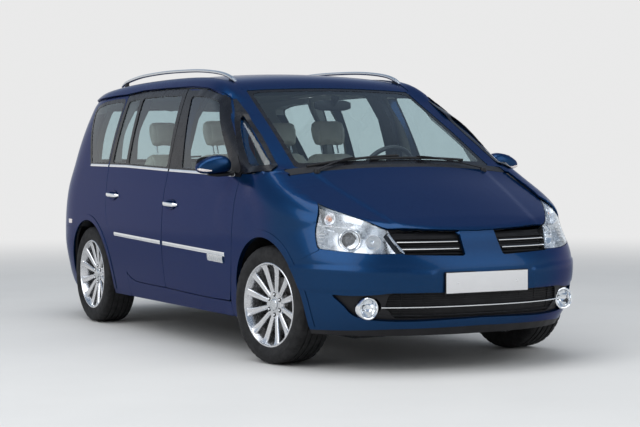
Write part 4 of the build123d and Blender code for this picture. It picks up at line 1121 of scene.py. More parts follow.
def top_z(x, y, height=0.0):
    return surface((x, y, 600.0), (0, 0, 1.0), 1300)[:, 2] + height


# ---------------------------------------------------------------- glass

def glazing():
    sheet = trimmed(top_sheet(495, 1395, -665, 665, 26), "plan", both_sides(windscreen_outline), grow=2)
    screen = panel("windscreen_pane", "body", sheet, SCREEN, height=-1.5, thick=4.5, rim=4.0)[0]
    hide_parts("windscreen")
    inner = [(1345, 0), (1328, 400), (1298, 622), (531, 545), (540, 300), (543, 0)]
    band = trimmed(sheet, "plan", both_sides(inner), "outside", corner=40)
    panel("windscreen_band", "body", band, GLOSS_BLACK, height=-0.2, thick=0.8, rim=0.8)
    for name, holes, span in (
        ("front", [front_door_window], (0, 980)), ("rear", [rear_door_window, rear_door_pane], (-1040, 0)),
    ):
        for k, hole in enumerate(holes):
            sheet = trimmed(side_sheet(span[0], span[1], 1060, 1570, 26), "side", hole, grow=-1, corner=20)
            panes = panel(f"{name}_SIDE_pane_{k}", f"{name}_SIDE_door", sheet, GLASS, height=-2, thick=4,
                          rim=4)
            if k == 0:
                for side, pane in zip(PAIR, panes):
                    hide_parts(f"{name}_{side}_glass")
    sheet = trimmed(side_sheet(-1650, -1090, 1095, 1550, 26), "side", rear_quarter_window, corner=30)
    back = panel("SIDE_rear_quarter_pane", "body", sheet, GLASS, height=0, thick=4, rim=4)
    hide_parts("quarter_glass")
    ring = trimmed(side_sheet(-1665, -1075, 1080, 1565), "side", rear_quarter_window, grow=21, corner=40)
    ring = trimmed(ring, "side", rear_quarter_window, "outside", grow=-5, corner=40)
    panel("SIDE_rear_quarter_seal", "body", ring, GLOSS_BLACK, height=2.4, thick=1.8, rim=2.2)
    sheet = rail_sheet(740, 1320, 15, 75, 300, under_roof, 16)
    pane = clipped(sheet, quarter_light(sheet[0]) - 2)
    panel("SIDE_front_quarter_pane", "body", pane, GLASS, height=0, thick=4, rim=4)
    sheet = beam_sheet(-1500, 1100, -580, 580, 138, 182, 24)
    pane = trimmed(sheet, "front", across_sides(tailgate_window), corner=34)
    glass = panel("tailgate_pane", "tailgate", pane, GLASS, height=0, thick=4, rim=4)[0]
    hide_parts("tailgate_glass")
    ring = trimmed(sheet, "front", across_sides(tailgate_window), grow=17, corner=50)
    ring = trimmed(ring, "front", across_sides(tailgate_window), "outside", grow=-22, corner=34)
    panel("tailgate_seal", "tailgate", ring, GLOSS_BLACK, height=2.4, thick=1.8, rim=2.2)


# ---------------------------------------------------------------- wheels and tyres

FRONT_AXLE, REAR_AXLE, AXLE_HEIGHT = 1421.5, -1381.5, 335
KINGPIN_Y, KINGPIN_TO_WHEEL = 727, 60
STEERED = radians(9.5)


def wheel_places():
    """Each wheel's name, its centre and the way its outside looks; the front ones are steered to the left."""
    c, s = cos(STEERED), sin(STEERED)
    for side, sign in (("left", 1), ("right", -1)):
        x, y = FRONT_AXLE - s * KINGPIN_TO_WHEEL * sign, sign * (KINGPIN_Y + KINGPIN_TO_WHEEL * c)
        yield f"front_{side}", (x, y, AXLE_HEIGHT), (-s * sign, c * sign, 0)
        yield f"rear_{side}", (REAR_AXLE, sign * (KINGPIN_Y + KINGPIN_TO_WHEEL), AXLE_HEIGHT), (0, sign, 0)


def at_wheel(shape, centre, outward):
    """A wheel-centred shape, its outside towards +Y, set at its axle."""
    e_y = np.array(outward, float)
    e_x = np.cross(e_y, (0, 0, 1.0))
    basis = np.stack([e_x, e_y, (0, 0, 1.0)])
    return shape[0] @ basis + np.array(centre, float), shape[1]


def rim_shape():
    profile = [
        (97, 238.5), (102, 239), (104, 236), (103.5, 231), (99, 227.5), (90, 225), (80, 218), (50, 211),
        (-20, 204),
        (-60, 210), (-92, 220), (-101, 230), (-103, 237), (-100, 239), (-96, 238), (-92, 229), (-60, 219),
        (-20, 213), (50, 219), (84, 227), (93, 236),
    ]
    return turned(profile, count=96, closed=True)


def spoke_shape():
    """One straight spoke, pointing up; rings run from the hub to the rim."""
    stations = [
        (34, 54, 30, 20), (60, 60, 30, 26), (90, 67, 28, 29.5), (130, 73, 25, 33), (170, 79, 23, 36.5),
        (200, 85, 21, 40), (218, 92, 21, 45), (229, 98, 20, 56),
    ]
    rings = []
    for r, face, depth, width in stations:
        w = width / 2
        section = [
            (-w, -7), (-w + 2.2, -2.4), (-w + 5.5, -0.3), (-w * 0.35, -1.6), (0, -2.2), (w * 0.35, -1.6),
            (w - 5.5, -0.3), (w - 2.2, -2.4), (w, -7), (w - 3.5, -depth), (-w + 3.5, -depth),
        ]
        rings.append([(a, face + b, r) for a, b in section])
    return rings_shape(rings)


def hub_shape():
    profile = [
        (30, 0.01), (30, 44), (58, 46), (62.5, 44), (64, 40), (63, 35), (59.5, 33.5), (59.5, 31.5),
        (66.5, 31), (69, 28), (70.5, 20), (71.2, 10), (71.5, 0.01),
    ]
    back = [(-8, 0.01), (-8, 66), (20, 78), (48, 82), (57, 78), (60, 70), (60, 42), (30, 40), (30, 0.01)]
    return turned(back, count=60), turned(profile[1:], count=60)


def spun(shape, turn):
    points, faces = shape
    c, s = cos(turn), sin(turn)
    return np.stack([points[:, 0] * c + points[:, 2] * s, points[:, 1],
                     points[:, 2] * c - points[:, 0] * s], 1), faces


def tyre_shape(count=168):
    half = [
        (95, 231), (99, 236), (103, 243), (107, 254), (110.5, 268), (111.8, 281), (111.2, 292),
        (110.2, 293.5),
        (109.8, 296), (108.4, 306), (106, 313), (104.5, 316), (102.6, 320), (99, 325.5), (93, 329.5),
        (84, 332), (74, 333.3), (62, 334), (60.5, 327), (53.5, 327), (52, 334.4), (38, 334.7), (26, 334.9),
        (24.5, 327.4), (16.5, 327.4), (15, 335), (6, 335),
    ]
    whole = half + [(-a, r) for a, r in reversed(half)]
    inner = [(-93, 236), (-98, 260), (-96, 300), (-70, 321), (0, 322), (70, 321), (96, 300), (98, 260),
             (93, 236)]
    points = []
    for k in range(count):
        turn = 2 * pi * k / count
        for a, r in whole + inner:
            edge = abs(a)
            if r > 315 and 72 < edge < 107 and k % 4 == 0:
                r -= 4.2
            if r > 330 and edge < 50 and (k + (2 if a > 0 else 0)) % 6 == 0:
                r -= 2.4
            points.append((r * sin(turn), a, r * cos(turn)))
    m = len(whole + inner)
    faces = []
    for k in range(count):
        for j in range(m):
            faces.append((k * m + j, k * m + (j + 1) % m, ((k + 1) % count) * m + (j + 1) % m,
                          ((k + 1) % count) * m + j))
    return np.array(points), faces


def wheels():
    rim = rim_shape()
    spokes = [spun(spoke_shape(), radians(15 + 30 * k)) for k in range(12)]
    back, cap = hub_shape()
    disc = turned(
        [(-8, 62), (-8, 149), (-9.5, 150.5), (-17, 150.5), (-17, 146), (-23, 146), (-23, 150.5),
         (-30.5, 150.5), (-32, 149), (-32, 62)], count=90, closed=True,
    )
    bell = turned([(-8, 66), (2, 74), (18, 74), (24, 66), (24, 30)], count=48)
    tyre = tyre_shape()
    lugs = []
    lug_shade_rings = []
    for k in range(6):
        turn = radians(60 * k + 30)
        spot = (57.5 * cos(turn), 0, 57.5 * sin(turn))
        # A black ring and disc round each lug nut: painted shade of lug recesses, laid on the flat hub face.
        lug_shade_rings.append(turned([(60.6, 9.0), (60.9, 12.2), (61.6, 12.6), (61.2, 9.4)], spot, count=20,
                            closed=True))
        lug_shade_rings.append(turned([(60.3, 0.01), (60.3, 9.6)], spot, count=20))
        lugs.append(turned([(60.4, 7.6), (64.6, 7.4), (66, 6), (66.2, 0.01)], spot, count=6))
    for name, centre, outward in wheel_places():
        body = f"{name}_wheel"
        alloy = joined([rim, back] + spokes)
        made = part(f"{name}_alloy", at_wheel(alloy, centre, outward), ALLOY, body, sharp=32)
        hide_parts(f"{name}_wheel")
        part(f"{name}_cap", at_wheel(cap, centre, outward), SATIN, body)
        # The black rings of painted lug shade, as one object.
        part(f"{name}_painted_lug_shade", at_wheel(joined(lug_shade_rings), centre, outward), PLASTIC, body)
        part(f"{name}_lugs", at_wheel(joined(lugs), centre, outward), CHROME, body, sharp=20)
        part(f"{name}_disc", at_wheel(joined([disc, bell]), centre, outward), IRON, body)
        rubber_ring = part(f"{name}_tread", at_wheel(tyre, centre, outward), RUBBER, body, sharp=28)
        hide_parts(f"{name}_tyre")


# ---------------------------------------------------------------- lamps

def bowl(sheet, depth, draw, lip=1.5):
    """A tray behind a lens: the sheet moved inwards, its edge drawn in, with a wall up to the lens."""
    points, faces = used_part(sheet)
    points, normals = settle(points, -lip)
    n = len(points)
    centre = points.mean(0)
    floor = centre + (points - centre) * (1 - draw) - normals * depth
    walls = [(int(b), int(a), int(a) + n, int(b) + n) for a, b in border_of(points, faces)]
    return np.concatenate([points, floor]), [tuple(int(i) + n for i in f) for f in faces] + walls


def cup(centre, axis, radius, depth, count=40):
    """A round reflector, open towards axis."""
    profile = [(-depth * (1 - t * t), radius * t) for t in (0.02, 0.15, 0.3, 0.45, 0.6, 0.75, 0.88, 1)]
    profile += [(1.5, radius * 1.03), (1.5, radius * 1.08), (-2, radius * 1.1)]
    return turned(profile, centre, axis, count)


def dome(centre, axis, radius, rise, count=40):
    profile = [(rise * cos(t) , radius * sin(t)) for t in np.linspace(0.001, pi / 2, 9)] + [(-3, radius)]
    return turned(profile, centre, axis, count)


def headlamps():
    """A clear lens over a silver tray that holds a projector, a main beam, an indicator and slats."""
    sheet = ball_sheet((1700.0, 200.0, 450.0), 8, 104, 8, 62, 10)
    sheet = trimmed(sheet, "front", headlamp_outline, grow=-0.6, corner=14)
    sheet = trimmed(sheet, "plan", both_sides(hood_outline), "outside", grow=7.4)
    sheet = clipped(sheet, 1646 - sheet[0][:, 0])
    sheet = clipped(sheet, -circle_distance(sheet[0], "side", FRONT_ARCH, ARCH_RADIUS + 6))
    lens = panel("SIDE_headlamp_lens", "body", sheet, LENS, height=2.2, thick=2.5, rim=7)
    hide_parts("headlamps")
    pair("SIDE_headlamp_tray", bowl(sheet, 116, 0.04), LAMP_GREY, "body", sharp=50)
    ahead = np.array([0.93, 0.36, 0.04])
    main = np.array([1950.0, 636.0, 713.0])
    ring = turned([(-10, 47), (2, 50), (8, 53), (10, 57), (7, 61), (-4, 63), (-40, 63)], main, ahead, 56)
    funnel = turned([(-34, 36), (-20, 42), (-10, 47), (-10, 50)], main, ahead, 56)
    pair("SIDE_lamp_ring", joined([ring, funnel]), CHROME, "body")
    pair("SIDE_lamp_eye", dome(main - ahead * 30, ahead, 33, 22), LAMP_EYE, "body")
    pair("SIDE_lamp_eye_rim", turned([(-34, 32), (-22, 33), (-20, 36), (-26, 41)], main, ahead, 48), PLASTIC,
         "body")
    high = np.array([2082.0, 566.0, 703.0])
    pair("SIDE_lamp_beam", cup(high, ahead, 38, 34), CHROME, "body")
    pair("SIDE_lamp_bulb", turned([(-34, 5), (-10, 6), (-4, 5), (-1, 0.01)], high, ahead, 16), CHROME, "body")

    def inset(x, z, depth):
        return x - depth * 0.5, float(side_y(x, z)[0]) - depth * 0.8, z

    slats = []
    for z in (694, 712, 730, 748):
        slats.append(swept([inset(x, z, 22) for x in (1868, 1885, 1902, 1918)], 26, 7, 10, 3.2))
    pair("SIDE_lamp_slats", joined(slats), CHROME, "body")
    shelf = [inset(x, z, 34) for x, z in ((1790, 806), (1850, 797), (1910, 790), (1970, 784), (2030, 772))]
    pair("SIDE_lamp_shelf", swept(shelf, 50, 8, 12, 3.2), LAMP_GREY, "body")
    bulb = np.array(inset(1893, 826, 44))
    out = (0.5, 0.78, 0.38)
    pair("SIDE_indicator_cup", cup(bulb, out, 30, 22), LAMP_GREY, "body")
    pair("SIDE_indicator_bulb", dome(bulb - np.array(out) * 8, out, 11, 16, 24), AMBER, "body")


def fog_lamps():
    y, z = FOG
    x = 2140.0
    ring = turned([(-30, 62), (2, 62), (8, 60), (10, 56), (8, 51), (2, 48), (-22, 46)], (x, y, z),
                  (1, 0, 0), 56)
    made = pair("SIDE_fog_ring", ring, CHROME, "body")
    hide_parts("fog_lamps")
    pair("SIDE_fog_cup", cup((x - 10, y, z), (1, 0, 0), 45, 34), CHROME, "body")
    pair("SIDE_fog_lens", dome((x - 6, y, z), (1, 0, 0), 47, 12), LENS, "body")
    pair("SIDE_fog_bulb", dome((x - 34, y, z), (1, 0, 0), 11, 16, 20), CHROME, "body")


def tail_lamps():
    sheet = pole_sheet(-1300, 100, 125, 165, 1040, 1445, 10)
    sheet = trimmed(sheet, "front", tail_lamp_outline, grow=-0.5, corner=14)
    sheet = clipped(sheet, sheet[0][:, 0] + 1884)
    lens = panel("SIDE_tail_lens", "body", sheet, RED, height=3.2, thick=3, rim=9)
    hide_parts("tail_lamps")
    for k, z in enumerate((1115, 1170)):
        band = clipped(clipped(sheet, z - sheet[0][:, 2]), sheet[0][:, 2] - z - 42)
        band = trimmed(band, "front", tail_lamp_outline, grow=-12)
        panel(f"SIDE_tail_band_{k}", "body", band, CLEAR_RED if k else AMBER, height=4.6, thick=1.2, rim=1.4,
              slot="red_lens")


# ---------------------------------------------------------------- front and rear details

def front_bar(z, y0, y1, depth, width, height, material, name):
    """A level bar a little behind the nose, or a left and a right one when its name has SIDE in it."""
    ys = np.linspace(y0, y1, 24)
    path = np.stack([front_x(ys, np.full(24, z)) - depth, ys, np.full(24, z)], 1)
    make = pair if "SIDE" in name else part
    make(name, swept(path, width, height, 10, 3.0), material, "body", slot="")


def grilles():
    for k, z in enumerate((706, 669)):
        front_bar(z, 132 + k * 6, 468 - k * 8, 16, 16, 8, CHROME, f"SIDE_grille_bar_{k}")
    for k in range(6):
        front_bar(642 + k * 16, 118, 462 + k * 5, 26, 14, 2.6, PLASTIC, f"SIDE_grille_slat_{k}")
    slant = [(float(front_x(y, z)[0]) - 8, y, z) for y, z in ((501, 748), (488, 715), (472, 682), (452, 645))]
    pair("SIDE_grille_end", swept(slant, 10, 16, 10, 3, up=(1, 0, 0)), SATIN, "body", slot="")
    for k, z in enumerate((361, 316)):
        front_bar(z, -568, 568, 12 + k * 8, 12 - k * 5, 8 - k * 4, CHROME if k == 0 else STEEL,
                  f"lower_bar_{k}")
    for k in range(11):
        z = 296 + k * 13
        limit = np.interp(z, [290, 360, 438], [492, 552, 540])
        front_bar(z, -limit, limit, 30, 12, 2.4, PLASTIC, f"lower_slat_{k}")
    posts = []
    for k in range(-4, 5):
        ys = np.full(8, 118.0 * k)
        zs = np.linspace(292, 436, 8)
        path = np.stack([front_x(ys, zs) - 28, ys, zs], 1)
        posts.append(swept(path, 6, 3, 8, 3, up=(0, 1, 0)))
    part("lower_posts", joined(posts), PLASTIC, "body", slot="")


def plate(name, body, x, z, ahead):
    """A blank number plate on its black carrier, with two screws."""
    part(f"{name}_carrier", soft_box((x, 0, z), (9, 530, 120), 4), PLASTIC, body)
    part(f"{name}_plate", soft_box((x + ahead * 5.5, 0, z), (3, 520, 110), 1.4), PLATE, body)
    screw = [(ahead * 6.8, 5.5), (ahead * 8.6, 5), (ahead * 9, 0.01)]
    screws = [turned(screw, (x, y, z), (1, 0, 0), 14) for y in (-190, 190)]
    part(f"{name}_screws", joined(screws), CHROME, body, slot="")


def strip(name, body, x0, x1, line, tall, height, thick, material, size=9):
    """A moulding that follows the side of the body between two lengths."""
    mid = line(np.array([x0, x1]))
    sheet = side_sheet(x0, x1, float(mid.min()) - tall, float(mid.max()) + tall, size)
    sheet = clipped(sheet, np.abs(sheet[0][:, 2] - line(sheet[0][:, 0])) - tall / 2)

    def crowned(p):
        share = np.abs(p[:, 2] - line(p[:, 0])) / (tall / 2)
        return -0.35 * thick * np.clip(share, 0, 1) ** 2

    panel(name, body, sheet, material, height=height, thick=thick, rim=thick + 1, shape=crowned)


def side_trim():
    """Chrome mouldings low on the doors, with a plain block at the end, and strips under the windows."""
    def low(x):
        return np.interp(x, [-834, 943], [643, 594])

    def under(x):
        return low(x) - 31

    def edge(x):
        return belt(x) + 8

    strip("rear_SIDE_moulding", "rear_SIDE_door", -836, -24, low, 23, 9, 6, CHROME)
    strip("front_SIDE_moulding", "front_SIDE_door", 20, 946, low, 23, 9, 6, CHROME)
    strip("front_SIDE_moulding_block", "front_SIDE_door", 706, 918, under, 42, 12, 8, SATIN, size=7)
    strip("front_SIDE_belt_strip", "front_SIDE_door", 22, 1000, edge, 15, 7, 4, CHROME, size=9)
    strip("rear_SIDE_belt_strip", "rear_SIDE_door", -1056, -6, edge, 15, 7, 4, CHROME, size=9)
    strip("SIDE_quarter_belt_strip", "body", -1440, -1086, edge, 15, 7, 4, CHROME, size=9)


def handles():
    for name, x, z in (("front", 140, 868), ("rear", -880, 903)):
        xs = np.linspace(x - 98, x + 98, 17)
        bow = np.array([8 + 30 * min(1, (1 - abs(k) ** 4.0)) for k in np.linspace(-1, 1, 17)])
        zs = np.full(17, float(z)) + np.linspace(3, -3, 17)
        path = np.stack([xs, side_y(xs, zs) + bow - 6, zs], 1)
        taper = [0.45, 0.8] + [1.0] * 13 + [0.8, 0.45]
        pair(f"{name}_SIDE_handle", swept(path, 13, 25, 14, 2.6, taper=taper), CHROME, f"{name}_SIDE_door")
        sheet = side_sheet(x - 90, x + 90, z - 50, z + 50, 8)
        oval = [(x + 76 * cos(t), z - 3 + 33 * sin(t)) for t in np.linspace(0, 2 * pi, 28)[:-1]]
        sheet = trimmed(sheet, "side", oval, corner=5)

        def dished(p):
            across = (p[:, 0] - x) / 76, (p[:, 2] - z + 3) / 33
            return -6 * np.clip(1 - across[0] ** 2 - across[1] ** 2, 0, 1)

        panel(f"{name}_SIDE_handle_cup", f"{name}_SIDE_door", sheet, PAINT, height=9.6, thick=1, rim=5,
              shape=dished)


def mirrors():
    """Door mirrors: a rounded body-colour housing over a black foot, with a mirror and an indicator."""
    centre = np.array([955.0, 1002.0, 1116.0])
    rings, count, m = [], 30, 32
    for i in range(count):
        y = -cos(pi * (i + 0.5) / count)
        top = np.interp(y, [-1, -0.92, -0.7, -0.35, 0.1, 0.55, 0.85, 1], [8, 34, 53, 60, 53, 34, 14, -10])
        foot = np.interp(y, [-1, -0.9, -0.6, 0, 0.5, 0.85, 1], [-8, -34, -46, -49, -47, -37, -22])
        middle, reach = (top + foot) / 2, sin(pi * (i + 0.5) / count) ** 0.5
        ring = []
        for k in range(m):
            a = 2 * pi * k / m
            c, s = cos(a), sin(a)
            x = 64 * reach * np.sign(c) * abs(c) ** 0.7 * (1 - 0.2 * y)
            x = max(x, -26 * reach)
            z = middle + (top - foot) / 2 * np.sign(s) * abs(s) ** 0.7
            ring.append(centre + (x, 106 * y, z))
        rings.append(ring)
    housing = rings_shape(rings)
    for side, made in zip(PAIR, pair("SIDE_mirror_shell", housing, PAINT, "front_SIDE_door", sharp=60)):
        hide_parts(f"{side}_mirror")
    glass = []
    for t in np.linspace(0, 2 * pi, 41)[:-1]:
        c, s = cos(t), sin(t)
        glass.append((centre[1] + 92 * np.sign(c) * abs(c) ** 0.6,
                      centre[2] + 50 * np.sign(s) * abs(s) ** 0.6))
    rim_ring = [[(centre[0] - 22, y, z) for y, z in glass], [(centre[0] - 32, y, z) for y, z in glass]]
    inset = [(centre[1] + (y - centre[1]) * 0.93, centre[2] + (z - centre[2]) * 0.9) for y, z in glass]
    rim_ring += [[(centre[0] - 32, y, z) for y, z in inset], [(centre[0] - 27, y, z) for y, z in inset]]
    pair("SIDE_mirror_rim", rings_shape(rim_ring), PLASTIC, "front_SIDE_door")
    face = [[(centre[0] - 27.4, y, z) for y, z in inset], [(centre[0] - 29, y, z) for y, z in inset]]
    pair("SIDE_mirror_glass", rings_shape(face), MIRROR, "front_SIDE_door")
    path = [(962, 868, 1072), (962, 900, 1066), (960, 935, 1062), (957, 975, 1060), (955, 1030, 1062)]
    pair("SIDE_mirror_foot", swept(path, 62, 24, 16, 2.8, taper=[1.15, 1.05, 0.95, 0.9, 0.5]), PLASTIC,
         "front_SIDE_door")
    lens = [(1009, 1030, 1086), (1003, 1058, 1087), (996, 1080, 1090), (987, 1096, 1093), (976, 1105, 1096)]
    pair("SIDE_mirror_indicator", swept(lens, 9, 17, 12, 2.6, taper=[0.5, 0.9, 1, 0.95, 0.5]), CLEAR_RED,
         "front_SIDE_door")
    sail = trimmed(side_sheet(880, 1085, 1055, 1200, 8), "side",
                   [(1062, 1072), (1066, 1090), (975, 1178), (900, 1150), (965, 1072)], corner=10)
    panel("front_SIDE_mirror_sail", "front_SIDE_door", sail, PLASTIC, height=6, thick=3, rim=4)


def wipers():
    """Two long wipers at rest near the foot of the windscreen, their blades crossing in the middle."""
    for name, pivot, tip, tail_end in (
        ("right", (1420, -560), (1310, 40), (1352, -590)), ("left", (1425, 560), (1345, -170), (1322, 480)),
    ):
        a, b = np.array(tail_end, float), np.array(tip, float)
        share = np.linspace(0, 1, 15)[:, None]
        plan = a + (b - a) * share
        blade = np.stack([plan[:, 0], plan[:, 1], top_z(plan[:, 0], plan[:, 1], 9)], 1)
        part(f"{name}_wiper_blade", swept(blade, 8, 15, 10, 2.5), SEAL, "body")
        middle = a + (b - a) * 0.5
        arm_plan = np.array([pivot, (np.array(pivot) * 0.6 + middle * 0.4),
                             (np.array(pivot) * 0.2 + middle * 0.8), middle])
        lift = [20, 26, 26, 20]
        arm = np.stack([arm_plan[:, 0], arm_plan[:, 1], top_z(arm_plan[:, 0], arm_plan[:, 1]) + lift], 1)
        part(f"{name}_wiper_arm", swept(arm, 16, 7, 10, 2.8), PLASTIC, "body")
        foot = (pivot[0], pivot[1], float(top_z(pivot[0], pivot[1])[0]))
        part(f"{name}_wiper_pivot", turned([(0, 20), (14, 19), (24, 15), (27, 0.01)], foot, (0, 0, 1), 28),
             PLASTIC, "body")


RAIL_Y = 587.0
RAIL_POINTS = 60


def roof_bars():
    """Bright rails that rise from dark feet at both ends."""
    line = [
        (396, 1624), (350, 1644), (290, 1664), (150, 1690), (0, 1705), (-150, 1715), (-420, 1723),
        (-700, 1726), (-950, 1722), (-1200, 1711), (-1360, 1695), (-1470, 1677), (-1540, 1655),
    ]
    curve = smooth_curve(line[::-1])
    xs = np.linspace(line[-1][0], line[0][0], RAIL_POINTS)
    path = np.stack([xs, np.full(RAIL_POINTS, RAIL_Y), curve(xs)], 1)
    order = np.arange(RAIL_POINTS)
    taper = np.clip(np.minimum(order, order[::-1]) / 3 + 0.5, 0.5, 1)
    made = pair("SIDE_roof_rail", swept(path, 27, 22, 16, 2.6, taper=taper), SATIN, "body")
    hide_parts("roof_bars")
    for k, (x0, x1) in enumerate(((-1475, -1420), (300, 352))):
        xs = np.linspace(x0, x1, 6)
        base = top_z(xs, RAIL_Y)
        rings = []
        for x, z in zip(xs, base):
            w = 13 * sin(pi * (0.18 + 0.64 * (x - x0) / (x1 - x0)))
            top, narrow = float(curve(x)) - 2, w * 0.8
            rings.append([(x, RAIL_Y - w, z - 3), (x, RAIL_Y + w, z - 3), (x, RAIL_Y + narrow, top),
                          (x, RAIL_Y - narrow, top)])
        pair(f"SIDE_rail_foot_{k}", rings_shape(rings), PLASTIC, "body")


def rear_details():
    """Number plate niche, handle bar, wiper, high stop lamp, bumper strip, reflectors and tail pipe."""
    plate("rear", "tailgate", float(rear_x(0, 860)[0]) - 6, 858, -1)
    ys = np.linspace(-330, 330, 25)
    path = np.stack([rear_x(ys, 945, 10), ys, np.full(25, 945.0)], 1)
    part("tailgate_handle_bar", swept(path, 22, 30, 14, 2.8), CHROME, "tailgate")
    ys = np.linspace(-160, 160, 15)
    path = np.stack([rear_x(ys, 1556, 4), ys, np.full(15, 1556.0)], 1)
    part("high_stop_lamp", swept(path, 10, 20, 12, 3), RED, "tailgate")
    ys = np.linspace(-8, 330, 12)
    zs = np.linspace(1136, 1150, 12)
    path = np.stack([rear_x(ys, zs, 16), ys, zs], 1)
    part("rear_wiper", swept(path, 9, 14, 10, 2.6), SEAL, "tailgate")
    part("rear_wiper_pivot", turned([(-6, 26), (14, 24), (24, 16), (26, 0.01)],
                                    (float(rear_x(0, 1120)[0]), 0, 1120), (-1, 0, 0), 30), PLASTIC,
                                    "tailgate", slot="")
    ys = np.linspace(-700, 700, 50)
    path = np.stack([rear_x(ys, 560, 2), ys, np.full(50, 560.0)], 1)
    part("rear_bumper_strip", swept(path, 10, 34, 12, 3.2), PLASTIC, "body")
    sheet = side_sheet(-1775, -1700, 684, 712, 6)
    panel("SIDE_side_lamp", "body", sheet, CLEAR_RED, height=6, thick=3, rim=4,
          over=("quarter_panels",), rounds=4)
    tip = turned([(0, 30), (-2, 33), (60, 33), (120, 31), (118, 28), (10, 28)], (-2150, -330, 256),
                 (1, 0, 0.02), 36, closed=True)
    part("tail_pipe", tip, CHROME, "body", slot="exhaust_steel")


# ---------------------------------------------------------------- seats and cabin

def pillow(sections, corner, count=28):
    """A closed soft form through rounded sections: (centre, forward, side, half depth, half width)."""
    rings = []
    for centre, forward, side, depth, width in sections:
        ring = []
        for k in range(count):
            t = 2 * pi * k / count
            c, s = cos(t), sin(t)
            ring.append(
                np.array(centre, float)
                + np.array(side, float) * width * np.sign(c) * abs(c) ** (2 / corner)
                + np.array(forward, float) * depth * np.sign(s) * abs(s) ** (2 / corner)
            )
        rings.append(ring)
    return rings_shape(rings)


CLOTH_FRAMES = 20


def workpiece(name, shape):
    """An object from a shape, only for modifiers to work on."""
    points, faces = shape
    mesh = bpy.data.meshes.new(name)
    mesh.from_pydata([tuple(p) for p in points * MM], [], [tuple(map(int, f)) for f in faces])
    o = bpy.data.objects.new(name, mesh)
    bpy.context.scene.collection.objects.link(o)
    return o


def modified(o):
    """The mesh that an object's modifiers give."""
    return bpy.data.meshes.new_from_object(o.evaluated_get(bpy.context.evaluated_depsgraph_get()))


def inflated(name, shape, voxel, pressure, most):
    """The shape swollen as a stuffed cover by a short cloth simulation, at most so many millimetres."""
    o = workpiece(name, shape)
    bm = bmesh.new()
    bm.from_mesh(o.data)
    bmesh.ops.recalc_face_normals(bm, faces=bm.faces)
    bm.to_mesh(o.data)
    bm.free()
    remesh = o.modifiers.new("remesh", "REMESH")
    remesh.mode = "VOXEL"
    remesh.voxel_size = voxel * MM
    o.data = modified(o)
    o.modifiers.clear()
    cloth = o.modifiers.new("cloth", "CLOTH")
    cloth.settings.use_pressure = True
    cloth.settings.uniform_pressure_force = pressure
    cloth.settings.effector_weights.gravity = 0
    cloth.settings.quality = 5
    cloth.settings.tension_stiffness = cloth.settings.compression_stiffness = 20
    cloth.point_cache.frame_start, cloth.point_cache.frame_end = 1, CLOTH_FRAMES
    for step in range(1, CLOTH_FRAMES + 1):
        bpy.context.scene.frame_set(step)
    start, end = points_of(o.data), points_of(modified(o))
    bpy.context.scene.frame_set(1)
    o.modifiers.clear()
    move = end - start
    size = np.linalg.norm(move, axis=1)[:, None] + 1e-6
    swollen = start + move / size * np.minimum(size, most)
    o.data.vertices.foreach_set("co", (swollen * MM).ravel())
    o.data.update()
    divide = o.modifiers.new("divide", "SUBSURF")
    divide.levels = divide.render_levels = 1
    smooth = modified(o)
    bpy.data.objects.remove(o)
    return points_of(smooth), [tuple(f.vertices) for f in smooth.polygons]


def stitched(shape, grooves):
    """Sewn channels: each groove gives how far every point is from its line; the cover dips along it."""
    points, faces = shape
    centre = points.mean(0)
    away = points - centre
    away /= np.linalg.norm(away, axis=1)[:, None] + 1e-9
    dip = np.zeros(len(points))
    for distance, depth, width in grooves(points):
        dip = np.maximum(dip, depth * np.exp(-((distance / width) ** 2)))
    return points - away * dip[:, None], faces


def thinned(name, shape, share):
    """The shape with only a share of its faces, fewest where it is flat."""
    o = workpiece(name, shape)
    fewer = o.modifiers.new("fewer", "DECIMATE")
    fewer.ratio = share
    thin = modified(o)
    bpy.data.objects.remove(o)
    return points_of(thin), [tuple(f.vertices) for f in thin.polygons]


def placed(shape, width, x, y, z):
    points, faces = shape
    return points * np.array([1, width, 1]) + np.array([x, y, z]), faces


LEAN = radians(20)
BACK_UP = np.array([-sin(LEAN), 0, cos(LEAN)])
BACK_OUT = np.array([cos(LEAN), 0, sin(LEAN)])
PRESSURE = 4
KEPT_FACES = 0.13


def cover(name, shape, voxel, most, seams):
    """A padded and stitched cover round a shape."""
    return thinned(name, stitched(inflated(name, shape, voxel, PRESSURE, most), seams), KEPT_FACES)


